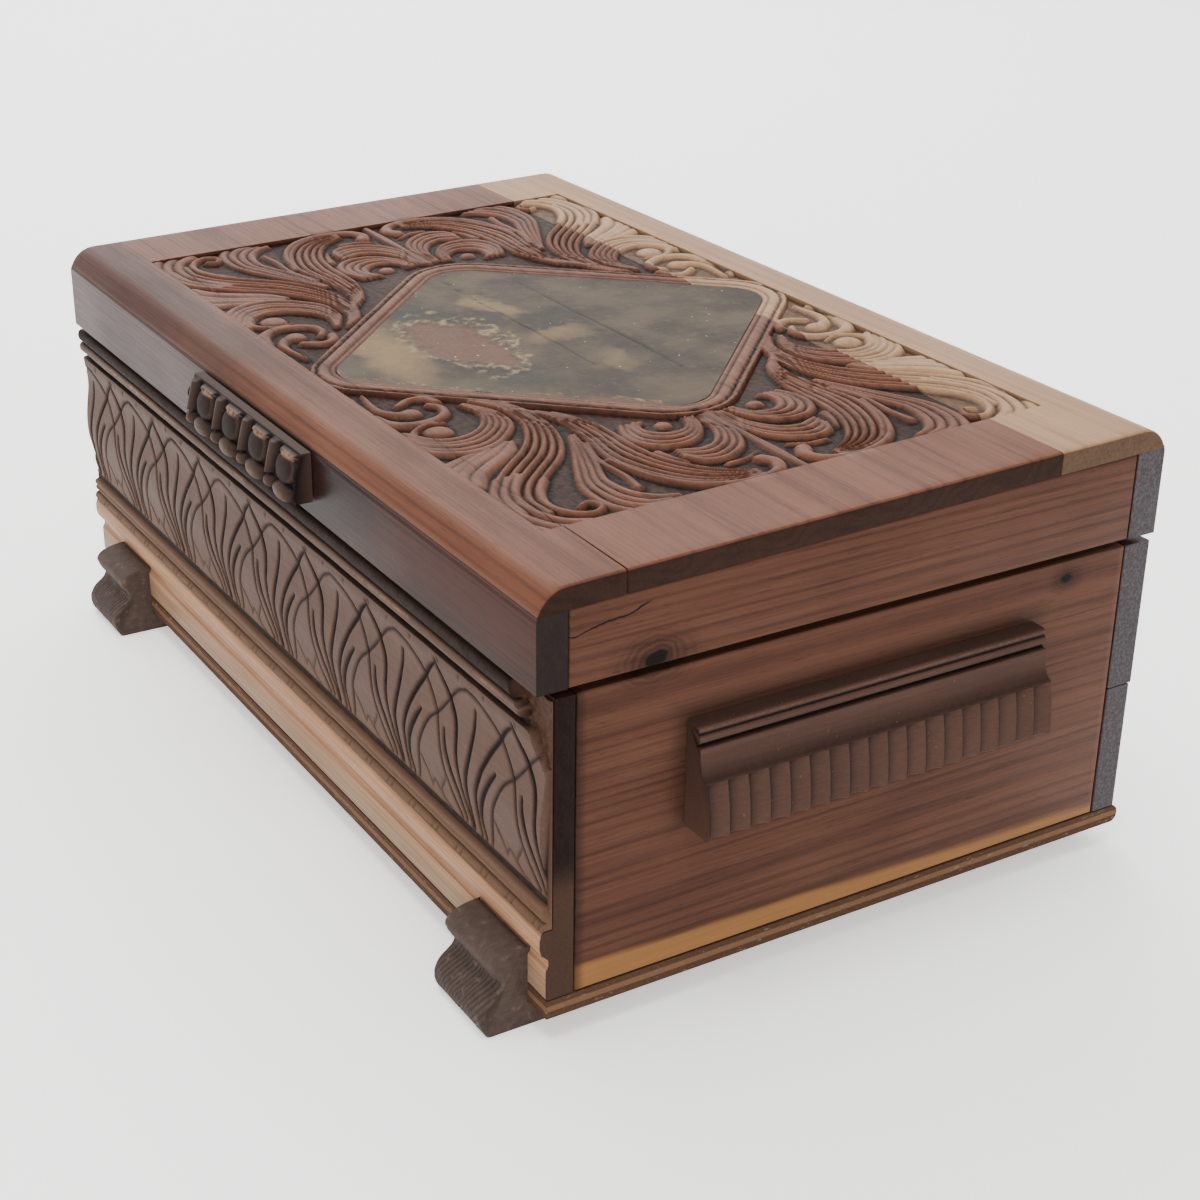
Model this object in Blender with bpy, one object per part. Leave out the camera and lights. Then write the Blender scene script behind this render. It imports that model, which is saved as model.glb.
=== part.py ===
"""Carved cedar jewelry box: a case on four feet and a hinged lid with a mirror inside.

The long side lies along X, the front faces -Y and +Z is up. The origin is at the floor, in the
middle of the whole box. Everything is in metres.
"""
import bmesh
import bpy
import math
from mathutils import Matrix, Vector

# Driving dimensions.
LENGTH = 0.267                  # lid and case, end to end
DEPTH = 0.162                   # lid, front to back
FOOT_LIFT = 0.006               # floor to the underside of the bottom board
CASE_HEIGHT = 0.0744            # underside of the bottom board to the rim
SEAM_GAP = 0.0016               # rim to the lid's lower edge
LID_FRONT_HEIGHT = 0.0219
LID_BACK_HEIGHT = 0.0260        # the top rises a little towards the hinges
LID_EDGE_RADIUS = 0.007         # rounding of the top's front and back edges
JOINT_GAP = 0.0003              # glue line between two pieces that touch

# Boards.
TOP_THICKNESS = 0.005
END_THICKNESS = 0.007           # end panels of the case and of the lid
LID_FRONT_RAIL_THICKNESS = 0.0071
LID_BACK_RAIL_THICKNESS = 0.008
BOTTOM_THICKNESS = 0.0045
BOTTOM_EDGE_RADIUS = 0.002
FRONT_SETBACK = 0.0024          # case front behind the lid front
BACK_SETBACK = 0.001            # case back inside the lid back
FRONT_BOARD_THICKNESS = 0.0066
BACK_BOARD_THICKNESS = 0.0075
BACK_JOINT_HEIGHT = 0.0378      # lower back board, up from the bottom board
BACK_LOWER_SETBACK = 0.0004     # lower back board stands in behind the upper one

# Top: three planks, a carved field and a diamond cartouche.
FRONT_PLANK_WIDTH = 0.0203
BACK_PLANK_WIDTH = 0.031
FIELD_END_BORDER = 0.0245
FIELD_SIDE_BORDER = 0.0155
FIELD_RECESS = 0.0014
CARTOUCHE_MARGIN = 0.0010       # clipped corner of the diamond to the field's long edge
CARTOUCHE_SHIFT = 0.0035        # middle of the diamond, right of the middle of the lid
CARTOUCHE_CORNER = 0.0075       # half width of a clipped corner
CARTOUCHE_FRAME_WIDTH = 0.005
PRINT_THICKNESS = 0.0004
PRINT_RECESS = 0.0009

# Front moulding and base.
BASE_HEIGHT = 0.022             # underside of the bottom board to the moulding strip
BASE_BEAD_HEIGHT = 0.0062
BASE_GROOVE_HEIGHT = 0.0035
STRIP_SEAT = 0.0016             # depth of the rebate that holds the strip
STRIP_THICKNESS = 0.0035        # back of the strip to its top bead
STRIP_RIM_GAP = 0.0003          # strip below the rim
CHIP_LENGTH = 0.0135            # broken corner of the strip, along the rim
CHIP_HEIGHT = 0.0155

# End handles.
HANDLE_LENGTH = 0.092
HANDLE_HEIGHT = 0.0245
HANDLE_DROP = 0.0124            # rim to the top of the handle
HANDLE_REACH = 0.0098
FLUTE_COUNT = 18
FLUTE_DEPTH = 0.0013
FLUTE_RADIUS = 0.0021
FLUTE_SHOULDER = 0.0003         # plain edge above the flutes

# Lid pull.
PULL_LENGTH = 0.064
PULL_HEIGHT = 0.012
PULL_LIFT = 0.004               # lid's lower edge to the pull
PULL_REACH = 0.0072
PULL_LOBES = 4

# Feet.
FOOT_WIDTH = 0.0215
FOOT_HEIGHT = 0.0196
FOOT_REACH = 0.009              # front feet in front of the lid
FOOT_TAIL = 0.009               # how far a front foot runs in under the case
FOOT_RIGHT_INSET = 0.0185       # end of the case to the middle of a foot
FOOT_LEFT_INSET = 0.0285
BACK_FOOT_DEPTH = 0.019
BACK_FOOT_INSET = 0.005         # behind the bottom board's back edge

# Hinges.
AXIS_OUTSET = 0.0008            # hinge axis behind the back of the lid
HINGE_LENGTH = 0.025
HINGE_INSET = 0.045             # end of the case to the middle of a hinge
KNUCKLE_RADIUS = 0.0016
PIN_RADIUS = 0.0006
LEAF_THICKNESS = 0.0007
LEAF_REACH = 0.0088             # hinge axis to the leaf's inner edge
LEAF_OFFSET = 0.00035           # hinge axis to the near face of a leaf
SCREW_PITCH = 0.014
SCREW_HEAD_RADIUS = 0.0009
SCREW_SHANK_RADIUS = 0.00045
SCREW_LENGTH = 0.006

# Mirror and its beads.
MIRROR_LENGTH = 0.200
MIRROR_DEPTH = 0.104
MIRROR_THICKNESS = 0.002
MIRROR_BEAD_WIDTH = 0.0055
MIRROR_BEAD_LIP = 0.0018

# Brads that hold the bottom board.
BRAD_HEAD_RADIUS = 0.0011
BRAD_HEAD_THICKNESS = 0.0004
BRAD_SHANK_RADIUS = 0.0005
BRAD_LENGTH = 0.012
BRAD_SPREAD = 0.38              # outer brads, as a share of the side they hold

# Places that follow from the sizes above, with Y from the middle of the lid and Z from the floor.
HALF_LENGTH = LENGTH / 2
HALF_DEPTH = DEPTH / 2
CASE_FRONT_Y = -HALF_DEPTH + FRONT_SETBACK
CASE_BACK_Y = HALF_DEPTH - BACK_SETBACK
FRONT_INNER_Y = CASE_FRONT_Y + FRONT_BOARD_THICKNESS
BACK_INNER_Y = CASE_BACK_Y - BACK_BOARD_THICKNESS
RIM_Z = FOOT_LIFT + CASE_HEIGHT
WALL_BASE_Z = FOOT_LIFT + BOTTOM_THICKNESS + JOINT_GAP
LID_Z = RIM_Z + SEAM_GAP
STRIP_BASE_Z = FOOT_LIFT + BASE_HEIGHT
STRIP_TOP_Z = RIM_Z - STRIP_RIM_GAP
STRIP_BACK_Y = CASE_FRONT_Y + STRIP_SEAT - JOINT_GAP
LID_SLOPE = (LID_BACK_HEIGHT - LID_FRONT_HEIGHT) / DEPTH
SLOPE_ANGLE = math.atan(LID_SLOPE)
AXIS_Y = HALF_DEPTH + AXIS_OUTSET
AXIS_Z = RIM_Z + SEAM_GAP / 2
BACK_REACH = AXIS_OUTSET + KNUCKLE_RADIUS
DATUM_Y = (FOOT_REACH - BACK_REACH) / 2     # puts the origin between the toes and the hinge knuckles

ROUND_STEPS = 24


# Scene, collections and materials.
for old in list(bpy.data.objects):
    bpy.data.objects.remove(old, do_unlink=True)

parts = bpy.data.collections.new("jewelry_box")
cutters = bpy.data.collections.new("jewelry_box_cutters")
bpy.context.scene.collection.children.link(parts)
bpy.context.scene.collection.children.link(cutters)


def finish(name, colour, roughness, metallic=0.0):
    material = bpy.data.materials.new(name)
    material.use_nodes = True
    shader = material.node_tree.nodes["Principled BSDF"]
    shader.inputs["Base Color"].default_value = (*colour, 1.0)
    shader.inputs["Roughness"].default_value = roughness
    shader.inputs["Metallic"].default_value = metallic
    return material


cedar = finish("red_cedar", (0.21, 0.085, 0.055), 0.42)
sapwood = finish("cedar_sapwood", (0.46, 0.25, 0.12), 0.45)
moulding_wood = finish("stained_moulding", (0.17, 0.11, 0.09), 0.5)
foot_wood = finish("dark_moulding", (0.07, 0.05, 0.045), 0.5)
plywood = finish("plywood", (0.24, 0.14, 0.09), 0.6)
paper = finish("varnished_print", (0.09, 0.08, 0.045), 0.35)
brass = finish("brass", (0.62, 0.44, 0.18), 0.35, 1.0)
steel = finish("steel", (0.5, 0.49, 0.47), 0.4, 1.0)
mirror_glass = finish("mirror_glass", (0.85, 0.87, 0.88), 0.03, 1.0)


# Empties: the whole box, the lid on its hinge axis, and the sloping plane of the top.
def empty(name, location, parent=None):
    item = bpy.data.objects.new(name, None)
    item.location = location
    item.parent = parent
    parts.objects.link(item)
    return item


box_datum = empty("box_datum", (0, DATUM_Y, 0))
lid_axis = empty("lid_hinge_axis", (0, AXIS_Y, AXIS_Z), box_datum)
top_plane = empty("lid_top_plane", (0, -AXIS_Y, LID_Z - AXIS_Z + (LID_FRONT_HEIGHT + LID_BACK_HEIGHT) / 2), lid_axis)
top_plane.rotation_euler.x = SLOPE_ANGLE


# Shapes.
def add_object(name, mesh, material, parent):
    """A piece, or a cutter where it has no material, placed in the box's own coordinates."""
    item = bpy.data.objects.new(name, mesh)
    if material is None:
        item.hide_render = True
        item.display_type = "WIRE"
        cutters.objects.link(item)
    else:
        mesh.materials.append(material)
        parts.objects.link(item)
    item.parent = parent
    if parent is lid_axis:
        item.matrix_parent_inverse = Matrix.Translation(lid_axis.location).inverted()
    return item


def box(name, low, high, material=None, parent=box_datum):
    mesh = bpy.data.meshes.new(name)
    shape = bmesh.new()
    bmesh.ops.create_cube(shape, size=1.0)
    size = Vector(high) - Vector(low)
    bmesh.ops.scale(shape, vec=size, verts=shape.verts)
    shape.to_mesh(mesh)
    shape.free()
    item = add_object(name, mesh, material, parent)
    item.location = (Vector(low) + Vector(high)) / 2
    return item


def extruded_mesh(name, outlines, length):
    """A flat outline, with any holes after it, drawn as a 2D curve and made a closed mesh."""
    curve = bpy.data.curves.new(name, "CURVE")
    curve.dimensions = "2D"
    curve.fill_mode = "BOTH"
    curve.extrude = length / 2
    for outline in outlines:
        spline = curve.splines.new("POLY")
        spline.points.add(len(outline) - 1)
        for point, (u, v) in zip(spline.points, outline):
            point.co = (u, v, 0.0, 1.0)
        spline.use_cyclic_u = True
    guide = bpy.data.objects.new(name, curve)
    bpy.context.scene.collection.objects.link(guide)
    drawn = guide.evaluated_get(bpy.context.evaluated_depsgraph_get())
    mesh = bpy.data.meshes.new_from_object(drawn)
    bpy.data.objects.remove(guide, do_unlink=True)
    bpy.data.curves.remove(curve)
    shape = bmesh.new()
    shape.from_mesh(mesh)
    bmesh.ops.remove_doubles(shape, verts=shape.verts, dist=1e-7)
    bmesh.ops.recalc_face_normals(shape, faces=shape.faces)
    shape.to_mesh(mesh)
    shape.free()
    mesh.materials.clear()
    return mesh


def along_x(name, outlines, x_low, x_high, material=None, parent=box_datum, origin=(0.0, 0.0)):
    """Extrudes outlines of (y, z) points from x_low to x_high. The origin is theirs."""
    item = add_object(name, extruded_mesh(name, outlines, x_high - x_low), material, parent)
    item.rotation_euler = (math.pi / 2, 0, math.pi / 2)
    item.location = ((x_low + x_high) / 2, *origin)
    return item


def along_y(name, outlines, y_low, y_high, material=None, parent=box_datum):
    """Extrudes outlines of (x, z) points from y_low to y_high."""
    item = add_object(name, extruded_mesh(name, outlines, y_high - y_low), material, parent)
    item.rotation_euler = (math.pi / 2, 0, 0)
    item.location = (0, (y_low + y_high) / 2, 0)
    return item


def along_z(name, outlines, z_low, z_high, material=None, parent=box_datum):
    """Extrudes outlines of (x, y) points from z_low to z_high."""
    item = add_object(name, extruded_mesh(name, outlines, z_high - z_low), material, parent)
    item.location = (0, 0, (z_low + z_high) / 2)
    return item


def turned(name, profiles, centres, material=None, parent=box_datum, up=1.0, steps=16):
    """Closed turned shapes about vertical axes: (radius, height) profiles from the axis out."""
    mesh = bpy.data.meshes.new(name)
    shape = bmesh.new()
    for x, y, z in centres:
        rings = []
        for radius, height in profiles:
            angles = [2 * math.pi * step / steps for step in range(steps)]
            rings.append([shape.verts.new((x + radius * math.cos(a), y + radius * math.sin(a), z + up * height))
                          for a in angles])
        for lower, upper in zip(rings, rings[1:]):
            for step in range(steps):
                after = (step + 1) % steps
                shape.faces.new((lower[step], lower[after], upper[after], upper[step]))
        shape.faces.new(rings[0])
        shape.faces.new(rings[-1])
    bmesh.ops.recalc_face_normals(shape, faces=shape.faces)
    shape.to_mesh(mesh)
    shape.free()
    return add_object(name, mesh, material, parent)


def cut(piece, cutter, operation="DIFFERENCE"):
    modifier = piece.modifiers.new(cutter.name, "BOOLEAN")
    modifier.operation = operation
    modifier.solver = "EXACT"
    modifier.object = cutter


def arc(centre, radius, start_degrees, end_degrees, steps=8):
    turns = [math.radians(start_degrees + (end_degrees - start_degrees) * step / steps) for step in range(steps + 1)]
    return [(centre[0] + radius * math.cos(turn), centre[1] + radius * math.sin(turn)) for turn in turns]


def circle(centre, radius, steps=ROUND_STEPS):
    return arc(centre, radius, 0, 360, steps)[:-1]


def bead(z_from, z_to, y_edge, bulge, steps=5):
    """Points down a half-round bead whose face stands bulge in front of y_edge."""
    points = []
    for step in range(steps + 1):
        turn = math.pi * step / steps
        height = (z_from + z_to) / 2 + (z_from - z_to) / 2 * math.cos(turn)
        points.append((y_edge - bulge * math.sin(turn), height))
    return points


def eased(knots, steps=5):
    """Points on a smooth line that is level at each (y, z) knot."""
    points = []
    for (y_from, z_from), (y_to, z_to) in zip(knots, knots[1:]):
        for step in range(steps):
            share = step / steps
            ease = (1 - math.cos(math.pi * share)) / 2
            points.append((y_from + (y_to - y_from) * ease, z_from + (z_to - z_from) * share))
    return points + [knots[-1]]


def diamond(reach, corner):
    """A diamond with clipped corners, about the middle of the cartouche."""
    corners = [(reach, corner), (corner, reach), (-corner, reach), (-reach, corner),
               (-reach, -corner), (-corner, -reach), (corner, -reach), (reach, -corner)]
    return [(x + CARTOUCHE_SHIFT, y) for x, y in corners]


# Brad holes are cut from the bottom board and from the walls above it.
brad_front_y = CASE_FRONT_Y + (FRONT_BOARD_THICKNESS + STRIP_SEAT) / 2
brad_back_y = BACK_INNER_Y + BACK_BOARD_THICKNESS / 2
brad_end_x = HALF_LENGTH - END_THICKNESS / 2
brad_centres = []
for share in (-BRAD_SPREAD, BRAD_SPREAD):
    brad_centres.append((share * LENGTH, brad_front_y, FOOT_LIFT))
    brad_centres.append((share * LENGTH, brad_back_y, FOOT_LIFT))
for share in (-BRAD_SPREAD / 2, BRAD_SPREAD / 2):
    brad_centres.append((-brad_end_x, share * DEPTH, FOOT_LIFT))
    brad_centres.append((brad_end_x, share * DEPTH, FOOT_LIFT))
brad_seat = BRAD_HEAD_THICKNESS + JOINT_GAP
brad_holes = turned("brad_holes",
                    [(BRAD_HEAD_RADIUS + JOINT_GAP, -JOINT_GAP),
                     (BRAD_HEAD_RADIUS + JOINT_GAP, brad_seat),
                     (BRAD_SHANK_RADIUS + JOINT_GAP, brad_seat),
                     (BRAD_SHANK_RADIUS + JOINT_GAP, BRAD_LENGTH + JOINT_GAP)],
                    brad_centres, steps=12)
for number, centre in enumerate(brad_centres, 1):
    turned("bottom_brad_%d" % number,
           [(BRAD_HEAD_RADIUS, 0.0), (BRAD_HEAD_RADIUS, BRAD_HEAD_THICKNESS),
            (BRAD_SHANK_RADIUS, BRAD_HEAD_THICKNESS), (BRAD_SHANK_RADIUS, BRAD_LENGTH)],
           [centre], steel, steps=12)

# Bottom board: plywood under all four walls, its back edge rounded.
bottom_top_z = FOOT_LIFT + BOTTOM_THICKNESS
round_y = HALF_DEPTH - BOTTOM_EDGE_RADIUS
bottom_outline = ([(CASE_FRONT_Y, FOOT_LIFT)]
                  + arc((round_y, FOOT_LIFT + BOTTOM_EDGE_RADIUS), BOTTOM_EDGE_RADIUS, -90, 0, 5)
                  + arc((round_y, bottom_top_z - BOTTOM_EDGE_RADIUS), BOTTOM_EDGE_RADIUS, 0, 90, 5)
                  + [(CASE_FRONT_Y, bottom_top_z)])
bottom_board = along_x("bottom_board", [bottom_outline], -HALF_LENGTH, HALF_LENGTH, plywood)
cut(bottom_board, brad_holes)

# Front board: a plain foot, a groove and a bead below a rebate for the strip.
groove_top_z = STRIP_BASE_Z - JOINT_GAP - BASE_BEAD_HEIGHT
groove_base_z = groove_top_z - BASE_GROOVE_HEIGHT
rebate_y = CASE_FRONT_Y + STRIP_SEAT
front_outline = ([(FRONT_INNER_Y, WALL_BASE_Z), (FRONT_INNER_Y, RIM_Z), (rebate_y, RIM_Z),
                  (rebate_y, STRIP_BASE_Z - JOINT_GAP)]
                 + bead(STRIP_BASE_Z - JOINT_GAP, groove_top_z, CASE_FRONT_Y - 0.0004, 0.0011)
                 + bead(groove_top_z - 0.0004, groove_base_z, CASE_FRONT_Y, -0.0007)
                 + [(CASE_FRONT_Y, WALL_BASE_Z)])
front_board = along_x("front_board", [front_outline], -HALF_LENGTH, HALF_LENGTH, cedar)
cut(front_board, brad_holes)

# Back: two boards glued edge to edge, the upper one a little proud of the lower.
back_joint_z = FOOT_LIFT + BACK_JOINT_HEIGHT
back_board_upper = box("back_board_upper", (-HALF_LENGTH, BACK_INNER_Y, back_joint_z + JOINT_GAP),
                       (HALF_LENGTH, CASE_BACK_Y, RIM_Z), cedar)
back_board_lower = box("back_board_lower", (-HALF_LENGTH, BACK_INNER_Y, WALL_BASE_Z),
                       (HALF_LENGTH, CASE_BACK_Y - BACK_LOWER_SETBACK, back_joint_z), cedar)
cut(back_board_lower, brad_holes)

# End panels between the front and back boards.
for side, name in ((-1, "end_panel_left"), (1, "end_panel_right")):
    outer_x = side * HALF_LENGTH
    inner_x = side * (HALF_LENGTH - END_THICKNESS)
    panel = box(name, (min(outer_x, inner_x), FRONT_INNER_Y + JOINT_GAP, WALL_BASE_Z),
                (max(outer_x, inner_x), BACK_INNER_Y - JOINT_GAP, RIM_Z), cedar)
    cut(panel, brad_holes)

# Embossed strip: two beads, a cove and a belly, and a beaded lower edge, glued in the rebate.
strip_face = STRIP_BACK_Y - STRIP_THICKNESS
top_bead_edge = strip_face + 0.0010
upper_bead_base_z = STRIP_TOP_Z - 0.0033
second_bead_top_z = upper_bead_base_z - 0.0005
second_bead_base_z = second_bead_top_z - 0.0027
belly_top_z = second_bead_base_z - 0.0017
lower_band_z = STRIP_BASE_Z + 0.0029
double_bead_z = lower_band_z + 0.0019
belly_base_z = double_bead_z + 0.0021
belly_height = belly_top_z - belly_base_z
belly_knots = [(top_bead_edge, belly_top_z),
               (strip_face + 0.0016, belly_base_z + 0.80 * belly_height),
               (strip_face + 0.0004, belly_base_z + 0.44 * belly_height),
               (strip_face + 0.0022, belly_base_z)]
strip_outline = ([(STRIP_BACK_Y, STRIP_BASE_Z), (STRIP_BACK_Y, STRIP_TOP_Z)]
                 + bead(STRIP_TOP_Z, upper_bead_base_z, top_bead_edge, 0.0010)
                 + bead(second_bead_top_z, second_bead_base_z, top_bead_edge, 0.0008)
                 + [(strip_face + 0.0020, second_bead_base_z - 0.0003), (strip_face + 0.0020, belly_top_z + 0.0003)]
                 + eased(belly_knots)
                 + bead(belly_base_z - 0.0001, double_bead_z, strip_face + 0.0018, 0.0006, 4)
                 + bead(double_bead_z - 0.0001, lower_band_z, strip_face + 0.0018, 0.0005, 4)
                 + bead(lower_band_z - 0.0002, STRIP_BASE_Z, strip_face + 0.0018, 0.0006, 4))
strip = along_x("front_carved_strip", [strip_outline], -HALF_LENGTH, HALF_LENGTH, moulding_wood)
chip_steps = [(1.0, -0.08), (0.88, 0.30), (0.66, 0.34), (0.58, 0.62), (0.34, 0.70), (0.28, 0.93), (0.10, 1.0)]
chip_outline = [(HALF_LENGTH + JOINT_GAP, STRIP_TOP_Z + JOINT_GAP)]
chip_outline += [(HALF_LENGTH - share * CHIP_LENGTH, STRIP_TOP_Z - drop * CHIP_HEIGHT) for share, drop in chip_steps]
chip_outline += [(HALF_LENGTH + JOINT_GAP, STRIP_TOP_Z - CHIP_HEIGHT)]
chip = along_y("broken_corner", [chip_outline], strip_face - 0.001, STRIP_BACK_Y + 0.0002)
cut(strip, chip)

# End handles: lengths of fluted moulding glued across the ends.
handle_top_z = RIM_Z - HANDLE_DROP
flute_top = 0.475 * HANDLE_HEIGHT
flute_face = ((HANDLE_REACH - 0.0017, handle_top_z - flute_top), (HANDLE_REACH, handle_top_z - HANDLE_HEIGHT + 0.0006))
cove_top = (0.0055, handle_top_z - 0.0054)
cove_base = (HANDLE_REACH - 0.0022, handle_top_z - flute_top + 0.0004)
cove = []
for step in range(7):
    turn = math.pi / 2 * step / 6
    cove.append((cove_top[0] + (cove_base[0] - cove_top[0]) * (1 - math.cos(turn)),
                 cove_top[1] + (cove_base[1] - cove_top[1]) * math.sin(turn)))
handle_outline = ([(JOINT_GAP, handle_top_z - HANDLE_HEIGHT), (JOINT_GAP, handle_top_z),
                   (0.0042, handle_top_z), (0.0048, handle_top_z - 0.0006), (0.0050, handle_top_z - 0.0034),
                   (0.0045, handle_top_z - 0.0039), (0.0045, handle_top_z - 0.0044),
                   (0.0055, handle_top_z - 0.0048)]
                  + cove + list(flute_face) + [(HANDLE_REACH - 0.0006, handle_top_z - HANDLE_HEIGHT)])
for side, end in ((-1, "left"), (1, "right")):
    # Each handle is drawn in (x, z) about the end face and runs along Y.
    outline = [(side * (HALF_LENGTH + out), height) for out, height in handle_outline]
    handle = along_y("handle_" + end, [outline], -HANDLE_LENGTH / 2, HANDLE_LENGTH / 2, moulding_wood)
    lean = math.atan2(flute_face[1][0] - flute_face[0][0], flute_face[0][1] - flute_face[1][1])
    flutes_mesh = bpy.data.meshes.new("flutes_" + end)
    flutes_shape = bmesh.new()
    middle_out = (flute_face[0][0] + flute_face[1][0]) / 2 + FLUTE_RADIUS - FLUTE_DEPTH
    middle_z = (flute_face[0][1] + flute_face[1][1]) / 2
    flute_pitch = HANDLE_LENGTH / FLUTE_COUNT
    for flute in range(FLUTE_COUNT):
        y = -HANDLE_LENGTH / 2 + (flute + 0.5) * flute_pitch
        turn = Matrix.Rotation(-side * lean, 4, "Y")
        place = Matrix.Translation((side * (HALF_LENGTH + middle_out), y, middle_z)) @ turn
        bmesh.ops.create_cone(flutes_shape, cap_ends=True, segments=12, radius1=FLUTE_RADIUS,
                              radius2=FLUTE_RADIUS, depth=HANDLE_HEIGHT, matrix=place)
    flutes_shape.to_mesh(flutes_mesh)
    flutes_shape.free()
    flutes = add_object("flutes_" + end, flutes_mesh, None, box_datum)
    flute_stop = box("flute_stop_" + end,
                     (-HALF_LENGTH - 0.03, -HANDLE_LENGTH, flute_face[0][1] - FLUTE_SHOULDER),
                     (HALF_LENGTH + 0.03, HANDLE_LENGTH, flute_face[0][1] + HANDLE_HEIGHT))
    cut(flutes, flute_stop)
    cut(handle, flutes)

# Feet: the front pair are slices of moulding that hook under the case, the back pair plain blocks.
foot_face_y = CASE_FRONT_Y - JOINT_GAP
toe_y = -HALF_DEPTH - FOOT_REACH
foot_outline = [(foot_face_y, FOOT_HEIGHT), (toe_y + 0.0058, FOOT_HEIGHT - 0.0009), (toe_y + 0.0040, FOOT_HEIGHT - 0.0021),
                (toe_y + 0.0032, FOOT_HEIGHT - 0.0038), (toe_y + 0.0036, FOOT_HEIGHT - 0.0066),
                (toe_y + 0.0035, FOOT_HEIGHT - 0.0098), (toe_y + 0.0016, FOOT_HEIGHT - 0.0130),
                (toe_y + 0.0003, FOOT_HEIGHT - 0.0152), (toe_y, 0.0030), (toe_y + 0.0006, 0.0),
                (foot_face_y + FOOT_TAIL, 0.0), (foot_face_y + FOOT_TAIL, FOOT_LIFT - JOINT_GAP),
                (foot_face_y, FOOT_LIFT - JOINT_GAP)]
back_foot_y = HALF_DEPTH - BACK_FOOT_INSET
for side, end, inset in ((-1, "left", FOOT_LEFT_INSET), (1, "right", FOOT_RIGHT_INSET)):
    middle_x = side * (HALF_LENGTH - inset)
    along_x("foot_front_" + end, [foot_outline], middle_x - FOOT_WIDTH / 2, middle_x + FOOT_WIDTH / 2, foot_wood)
    box("foot_back_" + end, (middle_x - FOOT_WIDTH / 2, back_foot_y - BACK_FOOT_DEPTH, 0.0),
        (middle_x + FOOT_WIDTH / 2, back_foot_y, FOOT_LIFT - JOINT_GAP), foot_wood)

# Envelope of the lid, which trims its boards: rounded along the top.
lid_front_top = LID_Z + LID_FRONT_HEIGHT
lid_back_top = LID_Z + LID_BACK_HEIGHT
front_turn = (-HALF_DEPTH + LID_EDGE_RADIUS,
              lid_front_top + LID_SLOPE * LID_EDGE_RADIUS - LID_EDGE_RADIUS / math.cos(SLOPE_ANGLE))
back_turn = (HALF_DEPTH - LID_EDGE_RADIUS,
             lid_back_top - LID_SLOPE * LID_EDGE_RADIUS - LID_EDGE_RADIUS / math.cos(SLOPE_ANGLE))
slope_degrees = math.degrees(SLOPE_ANGLE)
envelope_outline = ([(-HALF_DEPTH, LID_Z), (HALF_DEPTH, LID_Z)]
                    + arc(back_turn, LID_EDGE_RADIUS, 0, 90 + slope_degrees)
                    + arc(front_turn, LID_EDGE_RADIUS, 90 + slope_degrees, 180))
lid_envelope = along_x("lid_envelope", [envelope_outline], -HALF_LENGTH, HALF_LENGTH, None, lid_axis)


def under_top(y, gap=JOINT_GAP):
    """Height of the underside of the top at y, less a glue line."""
    surface = LID_Z + (LID_FRONT_HEIGHT + LID_BACK_HEIGHT) / 2 + LID_SLOPE * y
    return surface - (TOP_THICKNESS + gap) / math.cos(SLOPE_ANGLE)


# Lid rails and ends, under the top.
front_rail_y = -HALF_DEPTH + LID_FRONT_RAIL_THICKNESS
back_rail_y = HALF_DEPTH - LID_BACK_RAIL_THICKNESS
overrun = 0.002
for name, y_low, y_high in (("lid_front_rail", -HALF_DEPTH - overrun, front_rail_y),
                            ("lid_back_rail", back_rail_y, HALF_DEPTH + overrun)):
    rail_outline = [(y_low, LID_Z - overrun), (y_high, LID_Z - overrun),
                    (y_high, under_top(y_high)), (y_low, under_top(y_low))]
    rail = along_x(name, [rail_outline], -HALF_LENGTH - overrun, HALF_LENGTH + overrun, cedar, lid_axis)
    cut(rail, lid_envelope, "INTERSECT")
lid_end_outline = [(front_rail_y + JOINT_GAP, LID_Z), (back_rail_y - JOINT_GAP, LID_Z),
                   (back_rail_y - JOINT_GAP, under_top(back_rail_y - JOINT_GAP)),
                   (front_rail_y + JOINT_GAP, under_top(front_rail_y + JOINT_GAP))]
along_x("lid_end_left", [lid_end_outline], -HALF_LENGTH, -HALF_LENGTH + END_THICKNESS, cedar, lid_axis)
along_x("lid_end_right", [lid_end_outline], HALF_LENGTH - END_THICKNESS, HALF_LENGTH, cedar, lid_axis)

# Top planks, drawn flat in the sloping plane, with the carved field and the print's seat sunk in them.
field_x = HALF_LENGTH - FIELD_END_BORDER
field_y = HALF_DEPTH - FIELD_SIDE_BORDER
print_corner = CARTOUCHE_CORNER - (math.sqrt(2) - 1) * CARTOUCHE_FRAME_WIDTH
cartouche_reach = field_y - CARTOUCHE_MARGIN
print_reach = cartouche_reach - CARTOUCHE_FRAME_WIDTH
field_outline = [(-field_x, -field_y), (field_x, -field_y), (field_x, field_y), (-field_x, field_y)]
field_cut = along_z("carved_field", [field_outline, diamond(cartouche_reach, CARTOUCHE_CORNER)],
                    -FIELD_RECESS, overrun, None, top_plane)
print_seat = along_z("print_seat", [diamond(print_reach, print_corner)], -PRINT_RECESS, overrun, None, top_plane)
plank_front_y = -HALF_DEPTH + FRONT_PLANK_WIDTH
plank_back_y = HALF_DEPTH - BACK_PLANK_WIDTH
for name, y_low, y_high, wood in (
        ("lid_plank_front", -HALF_DEPTH - overrun, plank_front_y - JOINT_GAP / 2, cedar),
        ("lid_plank_middle", plank_front_y + JOINT_GAP / 2, plank_back_y - JOINT_GAP / 2, cedar),
        ("lid_plank_back", plank_back_y + JOINT_GAP / 2, HALF_DEPTH + overrun, sapwood)):
    plank = box(name, (-HALF_LENGTH - overrun, y_low, -TOP_THICKNESS),
                (HALF_LENGTH + overrun, y_high, overrun), wood, top_plane)
    cut(plank, lid_envelope, "INTERSECT")
    cut(plank, field_cut)
    cut(plank, print_seat)

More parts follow.
